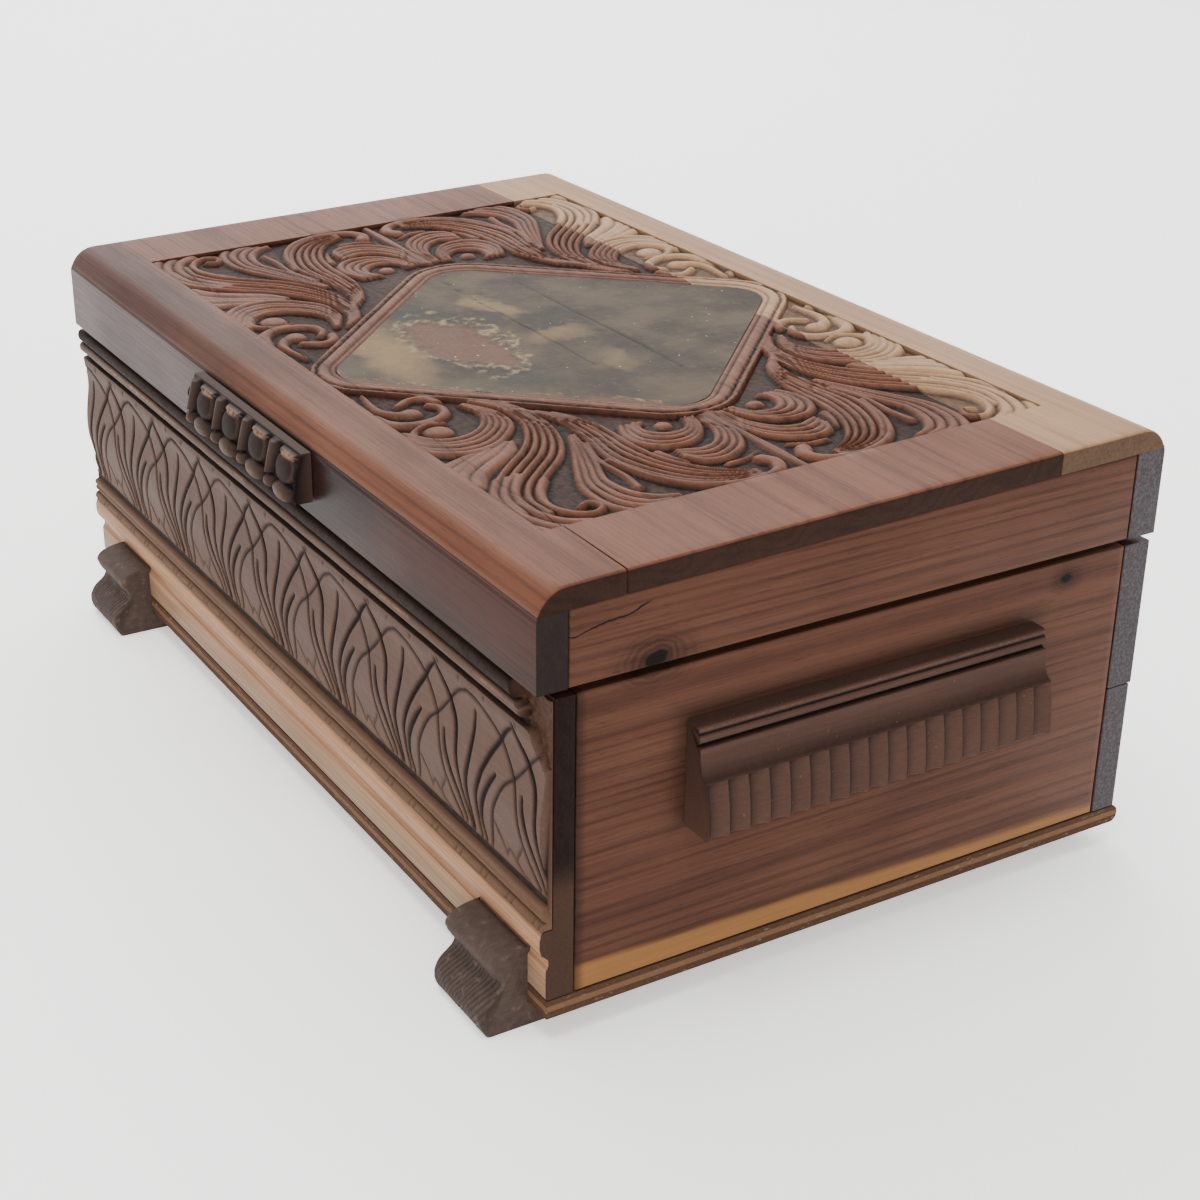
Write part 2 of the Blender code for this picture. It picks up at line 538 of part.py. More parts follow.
# Paper print in the cartouche.
along_z("cartouche_print", [diamond(print_reach - JOINT_GAP, print_corner)],
        -PRINT_RECESS + JOINT_GAP, -PRINT_RECESS + JOINT_GAP + PRINT_THICKNESS, paper, top_plane)

# Lid pull: a short length of lobed moulding.
pull_back_y = -HALF_DEPTH - JOINT_GAP
pull_face_y = -HALF_DEPTH - PULL_REACH
pull_base_z = LID_Z + PULL_LIFT
pull_outline = [(pull_back_y, pull_base_z), (pull_face_y + 0.0026, pull_base_z), (pull_face_y, pull_base_z + 0.0030),
                (pull_face_y + 0.0042, pull_base_z + PULL_HEIGHT), (pull_back_y, pull_base_z + PULL_HEIGHT)]
pull = along_x("lid_pull", [pull_outline], -PULL_LENGTH / 2, PULL_LENGTH / 2, moulding_wood, lid_axis)
lobe_pitch = PULL_LENGTH / PULL_LOBES
valley_mesh = bpy.data.meshes.new("pull_valleys")
valley_shape = bmesh.new()
pull_lean = math.atan2(0.0042, PULL_HEIGHT - 0.0030)
for valley in range(1, PULL_LOBES):
    turn = Matrix.Rotation(-pull_lean, 4, "X") @ Matrix.Rotation(math.pi / 4, 4, "Z")
    place = Matrix.Translation((-PULL_LENGTH / 2 + valley * lobe_pitch, pull_face_y + 0.0011, pull_base_z + 0.0070)) @ turn
    bmesh.ops.create_cube(valley_shape, size=1.0, matrix=place @ Matrix.Diagonal((0.003, 0.003, 0.03, 1)))
valley_shape.to_mesh(valley_mesh)
valley_shape.free()
cut(pull, add_object("pull_valleys", valley_mesh, None, lid_axis))

# Mirror inside the lid, held by four beads glued under the top.
glass_top = -TOP_THICKNESS - JOINT_GAP
glass_base = glass_top - MIRROR_THICKNESS
bead_base = glass_base - JOINT_GAP - 0.0015
glass_x = MIRROR_LENGTH / 2
glass_y = MIRROR_DEPTH / 2
box("lid_mirror", (-glass_x, -glass_y, glass_base), (glass_x, glass_y, glass_top), mirror_glass, top_plane)
bead_outer_y = glass_y + JOINT_GAP + MIRROR_BEAD_WIDTH - MIRROR_BEAD_LIP
bead_outer_x = glass_x + JOINT_GAP + MIRROR_BEAD_WIDTH - MIRROR_BEAD_LIP


def bead_section(side, edge, outer):
    """An L that stands outside the glass and laps its edge."""
    return [(side * (edge + JOINT_GAP), glass_top), (side * outer, glass_top), (side * outer, bead_base + 0.001),
            (side * (outer - 0.001), bead_base), (side * (edge - MIRROR_BEAD_LIP), bead_base),
            (side * (edge - MIRROR_BEAD_LIP), glass_base - JOINT_GAP), (side * (edge + JOINT_GAP), glass_base - JOINT_GAP)]


for side, name in ((-1, "mirror_bead_front"), (1, "mirror_bead_back")):
    along_x(name, [bead_section(side, glass_y, bead_outer_y)], -bead_outer_x, bead_outer_x, cedar, top_plane)
bead_end_y = glass_y - MIRROR_BEAD_LIP - JOINT_GAP
for side, name in ((-1, "mirror_bead_left"), (1, "mirror_bead_right")):
    along_y(name, [bead_section(side, glass_x, bead_outer_x)], -bead_end_y, bead_end_y, cedar, top_plane)

# Hinges: two brass butts with their leaves let into the seam and a loose pin each.
bore_radius = PIN_RADIUS + JOINT_GAP
leaf_far = LEAF_OFFSET + LEAF_THICKNESS
near_turn = math.degrees(math.asin(LEAF_OFFSET / KNUCKLE_RADIUS))
far_turn = math.degrees(math.asin(leaf_far / KNUCKLE_RADIUS))
leaf_outline = ([(-LEAF_REACH, -LEAF_OFFSET), (-LEAF_REACH, -leaf_far)]
                + arc((0, 0), KNUCKLE_RADIUS, 180 + far_turn, 540 + near_turn, ROUND_STEPS))
lid_leaf_outline = [(y, -z) for y, z in leaf_outline]
knuckle_room = KNUCKLE_RADIUS + JOINT_GAP
mortise = leaf_far + JOINT_GAP
screw_y = AXIS_Y - (LEAF_REACH + knuckle_room) / 2
third = HINGE_LENGTH / 3
screw_profile = [(SCREW_HEAD_RADIUS, 0.0), (SCREW_SHANK_RADIUS, -LEAF_THICKNESS), (SCREW_SHANK_RADIUS, -SCREW_LENGTH)]
screw_room = [(SCREW_HEAD_RADIUS + JOINT_GAP, LEAF_OFFSET), (SCREW_HEAD_RADIUS + JOINT_GAP, 0.0),
              (SCREW_SHANK_RADIUS + JOINT_GAP, -LEAF_THICKNESS), (SCREW_SHANK_RADIUS + JOINT_GAP, -SCREW_LENGTH - JOINT_GAP)]
case_screws = []
lid_screws = []
for side, end in ((-1, "left"), (1, "right")):
    middle_x = side * (HALF_LENGTH - HINGE_INSET)
    x_low = middle_x - HINGE_LENGTH / 2
    x_high = middle_x + HINGE_LENGTH / 2
    seat = box("hinge_seat_" + end, (x_low - JOINT_GAP, BACK_INNER_Y - 0.001, AXIS_Z - mortise),
               (x_high + JOINT_GAP, AXIS_Y, AXIS_Z + mortise))
    knuckle_seat = along_x("knuckle_seat_" + end, [circle((0, 0), knuckle_room)], x_low - JOINT_GAP,
                           x_high + JOINT_GAP, None, box_datum, (AXIS_Y, AXIS_Z))
    for board in (back_board_upper, bpy.data.objects["lid_back_rail"]):
        cut(board, seat)
        cut(board, knuckle_seat)
    case_leaf = along_x("hinge_leaf_case_" + end, [leaf_outline, circle((0, 0), bore_radius, 16)],
                        x_low, x_high, brass, box_datum, (AXIS_Y, AXIS_Z))
    lid_leaf = along_x("hinge_leaf_lid_" + end, [lid_leaf_outline, circle((0, 0), bore_radius, 16)],
                       x_low, x_high, brass, lid_axis, (AXIS_Y, AXIS_Z))
    for leaf, clear in ((case_leaf, [(x_low + third, x_high - third)]),
                        (lid_leaf, [(x_low - overrun, x_low + third), (x_high - third, x_high + overrun)])):
        for span, (clear_low, clear_high) in enumerate(clear):
            room = box("knuckle_room_%s_%d" % (leaf.name, span),
                       (clear_low - JOINT_GAP / 2, AXIS_Y - knuckle_room, AXIS_Z - knuckle_room),
                       (clear_high + JOINT_GAP / 2, AXIS_Y + knuckle_room, AXIS_Z + knuckle_room))
            cut(leaf, room)
    along_x("hinge_pin_" + end, [circle((0, 0), PIN_RADIUS, 12)], x_low, x_high, brass, box_datum, (AXIS_Y, AXIS_Z))
    for shift in (-SCREW_PITCH / 2, SCREW_PITCH / 2):
        case_screws.append((middle_x + shift, screw_y, AXIS_Z - LEAF_OFFSET))
        lid_screws.append((middle_x + shift, screw_y, AXIS_Z + LEAF_OFFSET))
    for leaf, up, centres in ((case_leaf, 1.0, case_screws[-2:]), (lid_leaf, -1.0, lid_screws[-2:])):
        cut(leaf, turned("screw_room_" + leaf.name, screw_room, centres, None, box_datum, up))
for number, (case_centre, lid_centre) in enumerate(zip(case_screws, lid_screws), 1):
    turned("hinge_screw_case_%d" % number, screw_profile, [case_centre], brass, box_datum)
    turned("hinge_screw_lid_%d" % number, screw_profile, [lid_centre], brass, lid_axis, -1.0)
cut(back_board_upper, turned("screw_holes_case", screw_room, case_screws))
cut(bpy.data.objects["lid_back_rail"], turned("screw_holes_lid", screw_room, lid_screws, None, box_datum, -1.0))
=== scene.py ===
"""Looks of a carved cedar jewelry box: a case on four feet and a hinged lid with a mirror inside.

The long side lies along X, the front faces -Y and +Z is up, as in the frame. Places are in
metres; the carving is worked out in millimetres, in the plane of each board.
"""

import bmesh
import bpy
import math
import numpy as np
from mathutils import Matrix, Vector


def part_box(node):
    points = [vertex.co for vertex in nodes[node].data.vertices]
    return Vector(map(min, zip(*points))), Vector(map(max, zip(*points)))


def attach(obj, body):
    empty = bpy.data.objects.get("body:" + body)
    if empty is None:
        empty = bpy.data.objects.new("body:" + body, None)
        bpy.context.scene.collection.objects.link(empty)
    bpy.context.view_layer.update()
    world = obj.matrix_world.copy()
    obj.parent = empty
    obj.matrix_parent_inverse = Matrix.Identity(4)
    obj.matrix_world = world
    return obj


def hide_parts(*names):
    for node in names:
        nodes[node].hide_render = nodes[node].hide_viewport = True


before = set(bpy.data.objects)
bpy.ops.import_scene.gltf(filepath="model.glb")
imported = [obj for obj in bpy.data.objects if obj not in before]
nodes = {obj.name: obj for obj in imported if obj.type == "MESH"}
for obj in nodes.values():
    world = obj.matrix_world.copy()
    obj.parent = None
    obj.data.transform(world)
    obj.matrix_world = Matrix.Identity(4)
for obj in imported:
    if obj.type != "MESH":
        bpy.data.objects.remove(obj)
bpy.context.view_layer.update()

# Camera: a little above the front right corner, looking along the lid to the far left.
# It has a fairly long lens and is turned by about a degree.
bearing = math.radians(58.279)
height_angle = math.radians(25.106)
roll = math.radians(0.845)
back = Vector((math.sin(bearing) * math.cos(height_angle), -math.cos(bearing) * math.cos(height_angle),
               math.sin(height_angle)))
right = Vector((math.cos(bearing), math.sin(bearing), 0.0))
up = back.cross(right)
rolled_right = math.cos(roll) * right + math.sin(roll) * up
rolled_up = math.cos(roll) * up - math.sin(roll) * right
camera_data = bpy.data.cameras.new("camera")
camera_data.lens = 63.6
camera_data.sensor_width = 36.0
camera = bpy.data.objects.new("camera", camera_data)
camera.matrix_world = Matrix((rolled_right, rolled_up, back)).transposed().to_4x4()
lid_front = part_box("lid_front_rail")[0]
lid_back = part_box("lid_back_rail")[1]
LID_MIDDLE = (lid_front.y + lid_back.y) / 2
camera.location = (0.44522, LID_MIDDLE - 0.25968, lid_front.z + 0.18909)
bpy.context.scene.collection.objects.link(camera)
bpy.context.scene.camera = camera

# Floor: a pale sheet that sweeps up behind the box, under a soft even sky.
# It is matt paper, seen from the front right.
class Tone:
    """A shader value: arithmetic on it adds Math nodes, and node() adds any other node."""

    def __init__(self, tree, socket=None):
        self.tree = tree
        self.socket = socket

    def node(self, kind, settings, sockets, output=0):
        made = self.tree.nodes.new("ShaderNode" + kind)
        for name, setting in settings.items():
            setattr(made, name, setting)
        for name, value in sockets.items():
            if isinstance(value, Tone):
                self.tree.links.new(value.socket, made.inputs[name])
            elif isinstance(value, tuple) and made.inputs[name].type == "RGBA":
                made.inputs[name].default_value = (*value, 1.0)
            else:
                made.inputs[name].default_value = value
        return Tone(self.tree, made.outputs[output])

    def math(self, operation, *others, clamp=False):
        values = {place: value for place, value in enumerate((self,) + others)}
        return self.node("Math", {"operation": operation, "use_clamp": clamp}, values)

    def __add__(self, other):
        return self.math("ADD", other)

    def __sub__(self, other):
        return self.math("SUBTRACT", other)

    def __rsub__(self, other):
        return self.node("Math", {"operation": "SUBTRACT"}, {0: other, 1: self})

    def __mul__(self, other):
        return self.math("MULTIPLY", other)

    def __truediv__(self, other):
        return self.math("DIVIDE", other)

    __radd__ = __add__
    __rmul__ = __mul__

    def between(self, low, high):
        """0 at low, 1 at high, and eased between."""
        settings = {"interpolation_type": "SMOOTHSTEP"}
        return self.node("MapRange", settings, {"Value": self, "From Min": low, "From Max": high})

    def clamped(self):
        return self.math("MULTIPLY", 1.0, clamp=True)

    def tint(self, base, other):
        """From the colour base, where this value is 0, to the colour other, where it is 1."""
        return self.node("Mix", {"data_type": "RGBA"}, {0: self, 6: base, 7: other}, 2)

    def noise(self, place, scale, detail=3.0, roughness=0.55):
        sockets = {"Vector": place, "Scale": scale, "Detail": detail, "Roughness": roughness}
        return self.node("TexNoise", {}, sockets)

    def place(self, scale=(1.0, 1.0, 1.0), shift=(0.0, 0.0, 0.0)):
        """The piece's own coordinates in millimetres, stretched by scale."""
        coordinates = self.node("TexCoord", {}, {}, 3)
        millimetres = tuple(1000.0 * share for share in scale)
        sockets = {"Vector": coordinates, "Scale": millimetres, "Location": shift}
        return self.node("Mapping", {}, sockets)

    def axis(self, name):
        return self.place().split(name)

    def split(self, name):
        return self.node("SeparateXYZ", {}, {"Vector": self}, "XYZ".index(name))

    def mark(self, name):
        """A number that the piece's mesh holds at each point."""
        return self.node("Attribute", {"attribute_name": name}, {}, 2)

    def relief(self, height, strength, reach):
        """Small bumps, with reach in metres."""
        return self.node("Bump", {}, {"Height": height, "Strength": strength, "Distance": reach})


def finish(name, metallic=0.0, coat=0.0, coat_roughness=0.2, specular=0.03):
    """A new material, its Principled shader and a Tone to build on."""
    material = bpy.data.materials.new(name)
    material.use_nodes = True
    shader = material.node_tree.nodes["Principled BSDF"]
    shader.inputs["Metallic"].default_value = metallic
    shader.inputs["Coat Weight"].default_value = coat
    shader.inputs["Specular IOR Level"].default_value = specular
    shader.inputs["Coat Roughness"].default_value = coat_roughness
    return material, shader, Tone(material.node_tree)


def feed(shader, **looks):
    """Links or sets Base_Color, Roughness, Normal and so on."""
    for name, value in looks.items():
        socket = shader.inputs[name.replace("_", " ")]
        if isinstance(value, Tone):
            shader.id_data.links.new(value.socket, socket)
        else:
            socket.default_value = value


floor_paper, floor_shader, tone = finish("floor_paper")
clouding = tone.noise(tone.place((0.004, 0.004, 0.004)), 1.0)
feed(floor_shader, Base_Color=clouding.tint((0.90, 0.90, 0.885), (0.93, 0.93, 0.92)), Roughness=0.75,
     Emission_Color=(1.0, 0.985, 0.96, 1.0))
floor_shader.inputs["Emission Strength"].default_value = 0.65
SWEEP_RADIUS = 0.35
SWEEP_REACH = 1.1
SWEEP_WIDTH = 6.0
section = [(-2.5, 0.0), (SWEEP_REACH, 0.0)]
for step in range(1, 25):
    turn = math.pi / 2 * step / 24
    section.append((SWEEP_REACH + SWEEP_RADIUS * math.sin(turn), SWEEP_RADIUS * (1 - math.cos(turn))))
section.append((SWEEP_REACH + SWEEP_RADIUS, 3.0))
floor_mesh = bpy.data.meshes.new("floor")
floor_shape = bmesh.new()
left_edge = [floor_shape.verts.new((-SWEEP_WIDTH / 2, reach, height)) for reach, height in section]
right_edge = [floor_shape.verts.new((SWEEP_WIDTH / 2, reach, height)) for reach, height in section]
for step in range(len(section) - 1):
    floor_shape.faces.new((left_edge[step], right_edge[step], right_edge[step + 1], left_edge[step + 1]))
floor_shape.transform(Matrix.Rotation(bearing, 4, "Z"))
floor_shape.to_mesh(floor_mesh)
floor_shape.free()
floor_mesh.shade_smooth()
floor_mesh.materials.append(floor_paper)
floor = bpy.data.objects.new("floor", floor_mesh)
bpy.context.scene.collection.objects.link(floor)

# Light: a wide soft lamp high on the left, a ceiling lamp, a weak one on the right, and the pale
# room. All of it is soft and nearly white, so the varnish shows only broad highlights.
world = bpy.data.worlds.new("room")
world.use_nodes = True
world.node_tree.nodes["Background"].inputs["Color"].default_value = (0.93, 0.96, 1.0, 1.0)
world.node_tree.nodes["Background"].inputs["Strength"].default_value = 0.95
bpy.context.scene.world = world


def lamp(name, place, aim, power, width, colour):
    light = bpy.data.lights.new(name, "AREA")
    light.shape = "RECTANGLE"
    light.size = width
    light.size_y = width * 0.7
    light.energy = power
    light.color = colour
    item = bpy.data.objects.new(name, light)
    item.location = place
    item.rotation_euler = (Vector(aim) - Vector(place)).to_track_quat("-Z", "Y").to_euler()
    bpy.context.scene.collection.objects.link(item)


lamp("window_left", (-1.3, 0.5, 1.15), (0.0, 0.0, 0.05), 40.0, 1.3, (0.95, 0.97, 1.0))
lamp("ceiling", (0.1, -0.3, 1.7), (0.0, 0.0, 0.0), 26.0, 1.2, (1.0, 0.98, 0.95))
lamp("room_right", (1.4, -0.9, 0.7), (0.0, 0.0, 0.05), 9.0, 0.9, (1.0, 0.94, 0.88))

# Lid top: three planks of aromatic cedar glued edge to edge, the back one of pale sapwood.
# A rectangle in the middle is carved in low relief and pressed, with painted shade darkening its hollows,
# around a diamond-shaped seat; the long edges are rounded and the ends show dark end grain.
front_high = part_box("lid_plank_front")[1]
back_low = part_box("lid_plank_back")[0]
HALF_LENGTH = front_high.x * 1000
HALF_DEPTH = (lid_back.y - lid_front.y) * 500
LID_RISE = 4.1 / 162.0                  # the top climbs towards the hinges
FRONT_JOINT = (front_high.y - LID_MIDDLE) * 1000
BACK_JOINT = (back_low.y - LID_MIDDLE) * 1000
TOP_LEVEL = front_high.z * 1000 - LID_RISE * FRONT_JOINT
PLANK_THICKNESS = 5.25
EDGE_ROUNDING = 7.0
END_ROUNDING = 0.8
FIELD_X = HALF_LENGTH - 24.5            # half sizes of the carved field
FIELD_Y = 65.5
GROUND = 1.4                            # depth of the carving's ground
DIAMOND_X = 3.5                         # middle of the diamond
DIAMOND_SIDE = 45.9                     # half the side of the print
DIAMOND_ROUND = 10.6
FRAME_WIDTH = 6.2
SEAT_DEPTH = 0.9
PATTERN_STEP = 0.15
CREST = 1.25                            # height of a leaf's ridges over the ground
FACE_STEP = 0.45                        # width of the carved planks' faces


def smooth_path(points, count=30):
    """Points on the smooth curve through the given points."""
    knots = np.array(points, float)
    knots = np.vstack((2 * knots[0] - knots[1], knots, 2 * knots[-1] - knots[-2]))
    share = np.linspace(0, len(points) - 1.000001, count)
    first = share.astype(int)
    part = (share - first)[:, None]
    a, b, c, d = (knots[first + step] for step in range(4))
    return 0.5 * (2 * b + (c - a) * part + (2 * a - 5 * b + 4 * c - d) * part ** 2
                  + (3 * b - a - 3 * c + d) * part ** 3)


def rounded(share):
    return np.sqrt(np.maximum(0.0, 1 - share ** 2))


def crested(share):
    return np.maximum(0.0, 1 - share ** 2.4)


def notched(share):
    return np.maximum(0.0, 1 - share)


def stroke(field, step, path, half_widths, height, section):
    """Raises a line of the given section along a path, where the field isn't higher yet."""
    rows, columns = field.shape
    for start, end, near, far in zip(path, path[1:], half_widths, half_widths[1:]):
        widest = max(near, far)
        low = np.maximum(0, ((np.minimum(start, end) - widest) / step).astype(int))
        high = ((np.maximum(start, end) + widest) / step).astype(int) + 2
        if low[0] >= columns or low[1] >= rows or high[0] <= 0 or high[1] <= 0:
            continue
        window = (slice(low[1], high[1]), slice(low[0], high[0]))
        y, x = np.mgrid[low[1]:min(high[1], rows), low[0]:min(high[0], columns)] * step
        span = end - start
        along = ((x - start[0]) * span[0] + (y - start[1]) * span[1]) / max(span @ span, 1e-9)
        along = np.clip(along, 0, 1)
        distance = np.hypot(x - start[0] - along * span[0], y - start[1] - along * span[1])
        width = near + (far - near) * along
        field[window] = np.maximum(field[window], height * section(np.minimum(1, distance / width)))


def mottle(x, y, pitch, seed):
    """Smooth random values from -1 to 1 that change over about one pitch."""
    lattice = np.random.default_rng(seed).uniform(-1, 1, (64, 64))
    u = np.asarray(x) / pitch + 31.7
    v = np.asarray(y) / pitch + 29.3
    i = np.floor(u).astype(int)
    j = np.floor(v).astype(int)
    s = u - i
    t = v - j
    s = s * s * (3 - 2 * s)
    t = t * t * (3 - 2 * t)
    near = lattice[i % 64, j % 64] * (1 - s) + lattice[(i + 1) % 64, j % 64] * s
    far = lattice[i % 64, (j + 1) % 64] * (1 - s) + lattice[(i + 1) % 64, (j + 1) % 64] * s
    return near * (1 - t) + far * t


def looked_up(field, step, x, y):
    """The field's values at x and y, in line between its points."""
    u = np.clip(x / step, 0, field.shape[1] - 1.001)
    v = np.clip(y / step, 0, field.shape[0] - 1.001)
    i = u.astype(int)
    j = v.astype(int)
    s = u - i
    t = v - j
    near = field[j, i] * (1 - s) + field[j, i + 1] * s
    far = field[j + 1, i] * (1 - s) + field[j + 1, i + 1] * s
    return near * (1 - t) + far * t


def softened(field, rounds):
    for _ in range(rounds):
        padded = np.pad(field, 1, "edge")
        field = (padded[:-2, 1:-1] + padded[2:, 1:-1] + padded[1:-1, :-2] + padded[1:-1, 2:] + field) / 5
    return field


# One quarter of the carving, from the middle of the lid to a corner; the rest mirrors it.
quarter = np.zeros((int(70 / PATTERN_STEP), int(116 / PATTERN_STEP)))


def frond(outer, inner, ridges, crest=CREST, fill=0.43):
    """A leaf of parallel ridges between two edges, each ridge as wide as the leaf leaves room for."""
    outer = smooth_path(outer)
    inner = smooth_path(inner)
    room = np.hypot(*(outer - inner).T) / (ridges - 1)
    for ridge in range(ridges):
        share = ridge / (ridges - 1)
        lift = crest * (1 - 0.12 * (ridge % 2))
        widths = np.clip(fill * room, 0.42, 2.4)
        stroke(quarter, PATTERN_STEP, outer + (inner - outer) * share, widths, lift, crested)


def ridge(points, start_width, end_width, crest=CREST):
    path = smooth_path(points, 36)
    stroke(quarter, PATTERN_STEP, path, np.linspace(start_width, end_width, 36), crest, rounded)


def boss(x, y, radius, crest=CREST):
    middle = np.array([(x, y), (x + 0.1, y)])
    stroke(quarter, PATTERN_STEP, middle, np.array([radius, radius]), crest, rounded)


# Long frond that sweeps out to a hook at the end of the field.
frond([(52, 30), (58, 27), (66, 25.3), (78, 25.3), (88, 24), (96, 20.5), (101, 16), (104.5, 10)],
      [(46, 35.5), (56, 31.2), (70, 31.4), (83, 33.2), (95, 30), (103, 24.5), (106.3, 18), (107, 10)], 5)
ridge([(83, 34.4), (95.5, 31.3), (103.8, 26), (107.8, 19), (108.6, 11.5), (106.6, 6), (102.8, 4),
       (99.6, 5.6)],
      0.8, 2.1, 1.35)
# Fan of short leaves below it.
frond([(66, 32.6), (75, 34.8), (84, 37.6), (92, 40.4), (100, 39.6), (105, 36.2), (107, 32)],
      [(66, 34), (76, 38.6), (84, 42.6), (93, 46.4), (103, 46.6), (109, 43.5), (110, 39)], 4, 1.15, 0.55)
ridge([(72, 33), (82, 35.8), (92, 35.6), (99, 36.4)], 0.7, 1.2, 1.1)
# Main leaf that runs to the corner, with a small curl at its upper edge.
frond([(38.5, 37.6), (46, 34.6), (57, 34.3), (67, 36.8), (75, 41.5), (81, 47.6), (87.5, 54), (95, 57.4),
       (102, 56.6)],
      [(35, 42.6), (43, 38.6), (53, 38.6), (61.5, 42), (68.5, 47.4), (74, 53.6), (80, 59.6), (87, 64.4),
       (97, 66)], 5)
ridge([(85, 51.5), (91, 55.6), (97.5, 57.4), (103, 55.6), (105.7, 51.6), (103.8, 48.4), (100.4, 49.6),
       (101.4, 52.4)],
      1.3, 0.8, 1.35)
frond([(80, 55), (88, 60), (97, 61.6), (105, 59), (109, 54)],
      [(80, 60), (88, 65), (98, 67), (106, 65.4), (112, 62)], 3, 1.2, 0.55)
# Small leaves in the gap before the scrolls.
frond([(62.5, 46.4), (67.5, 50.6), (71.6, 56.6), (76, 62), (81, 65)],
      [(62, 47.6), (66, 53.4), (69, 59), (73.4, 64.4), (78, 67)], 2, 1.2, 0.8)
frond([(63.8, 53), (67, 58.6), (71.4, 66)], [(63.4, 54.4), (65.4, 60.6), (68, 66.6)], 2, 1.1, 0.75)
# C scroll around an eye.
frond([(36, 44.4), (43.5, 40.6), (52, 41), (58, 45.4), (62.2, 51), (63, 57.4), (60.4, 63), (56, 66.4)],
      [(36, 45.6), (43, 44), (49, 46.4), (53, 50.6), (54.6, 55.6), (53, 60.4), (49.4, 63), (46, 64.6)],
      5, CREST, 0.58)
boss(47.8, 57.2, 3.6)
ridge([(44, 53.6), (43, 57.6), (45.4, 62), (50, 64)], 0.6, 1.3, 1.1)
# Comma scroll beside the front corner of the diamond.
ridge([(29, 58), (26.6, 54), (27.6, 50.4), (31, 49)], 1.2, 1.5)
ridge([(32, 51.6), (35, 49.8), (39, 51), (41.4, 55.4), (41.2, 60.6), (38.2, 64.4), (33, 66)], 1.1, 2.2, 1.3)
boss(34.4, 57.4, 2.9, 1.3)
ridge([(34.4, 58.4), (33, 61), (28.4, 63), (18.6, 62)], 2.3, 0.7, 1.2)
ridge([(31, 66), (25, 66.4), (20, 65)], 1.5, 0.7, 1.1)
# Volute and leaf beside the end corner of the diamond.
frond([(70.6, 4.4), (76, 5.8), (81, 9.2), (83.4, 14), (82.6, 19.6), (78.4, 23), (72.6, 23.4), (67.4, 21.4)],
      [(70.2, 7), (73, 7.4), (76, 9.4), (77.2, 13), (75.8, 16.6), (72.6, 18.6), (69.2, 18.2), (67.4, 16.4)],
      4, CREST, 0.55)
boss(71.2, 12.6, 2.2, 1.0)
frond([(70.5, 1.0), (83, 1.4), (90.6, 4.6), (94.8, 11), (94, 16.4), (90, 19)],
      [(71, 3.4), (80, 4.4), (86, 8), (88.2, 12.8), (87, 16.6), (86, 18.6)], 4, 1.2, 0.56)
ridge([(84.6, 22.6), (89, 21.6), (93, 20)], 1.3, 0.5, 1.0)
ridge([(95.5, 4.2), (97.6, 8), (98, 13)], 0.5, 1.0, 0.9)
# A plain stem lies along the middle line.
ridge([(70, 0), (84, 0), (97, 0.4), (110, 0)], 0.9, 1.1, 1.0)

stipple_rows, stipple_columns = np.mgrid[0:quarter.shape[0], 0:quarter.shape[1]] * PATTERN_STEP
quarter += 0.05 * mottle(stipple_columns, stipple_rows, 0.7, 3) * (quarter < 0.25)
quarter = softened(quarter, 2)
# Painted shade for the carving's hollows, worked out like ambient occlusion: darker where a point lies below
# its blurred surroundings, and on the low ground.
hollow_shade = np.clip((softened(quarter, 40) - quarter) * 2.6, 0, 1) + np.clip(0.42 - quarter, 0, 0.42) * 1.9
hollow_shade = hollow_shade + np.clip((softened(quarter, 9) - quarter) * 5.0, 0, 1)
hollow_shade = softened(np.clip(hollow_shade, 0, 1), 1)


def diamond_distance(x, y):
    """Distance in millimetres outside the print's rounded diamond."""
    a = np.abs(x - DIAMOND_X + y) / math.sqrt(2) - DIAMOND_SIDE + DIAMOND_ROUND
    b = np.abs(x - DIAMOND_X - y) / math.sqrt(2) - DIAMOND_SIDE + DIAMOND_ROUND
    outside = np.hypot(np.maximum(a, 0), np.maximum(b, 0))
    return outside + np.minimum(np.maximum(a, b), 0) - DIAMOND_ROUND


def bump_over(distance, middle, half_width, height):
    return height * rounded(np.minimum(1, np.abs(distance - middle) / half_width))


def top_relief(x, y):
    """Height of the lid's surface over its plane, and the painted shade in its hollows, at x and y."""
    stretch = np.where(x < DIAMOND_X, (FIELD_X - DIAMOND_X) / (FIELD_X + DIAMOND_X), 1.0)
    across = DIAMOND_X + np.abs(x - DIAMOND_X) * stretch
    level = looked_up(quarter, PATTERN_STEP, across, np.abs(y)) - GROUND
    dark = looked_up(hollow_shade, PATTERN_STEP, across, np.abs(y))
    outside = diamond_distance(x, y)
    teeth = 0.9 * np.abs(((x - y) / 4.2) % 1.0 - 0.5) + 0.3 * mottle(x, y, 1.3, 5)
    beads = -0.75 + bump_over(outside, 0.75, 0.75, 0.4)
    beads = np.maximum(beads, -0.85 + bump_over(outside, 2.9, 1.65, 0.85))
    beads = np.maximum(beads, -1.0 + bump_over(outside, 5.45 + teeth * 0.5, 0.95, 0.85))
    in_frame = (outside > 0) & (outside < FRAME_WIDTH)
    level = np.where(in_frame, beads, level)
    # Painted shade in the frame's grooves and in the band just outside its outer bead.
    groove = bump_over(outside, 4.5 + teeth * 0.6, 0.55, 1.0) + bump_over(outside, 1.4, 0.4, 0.7)
    dark = np.where(in_frame, np.clip(groove + 0.25 * (outside > 5.9), 0, 1), dark)
    level = np.where(outside <= 0, -SEAT_DEPTH, level)
    in_field = (np.abs(x) < FIELD_X) & (np.abs(y) < FIELD_Y)
    level = np.where(in_field, level, 0.02 * mottle(x, y, 9.0, 7))
    edge = np.minimum(FIELD_X - np.abs(x), FIELD_Y - np.abs(y))
    # A line of painted shade runs along the foot of the field's edge.
    dark = np.where(in_field, np.maximum(dark, 0.9 * (edge < 0.5)), 0.0)
    return level, dark


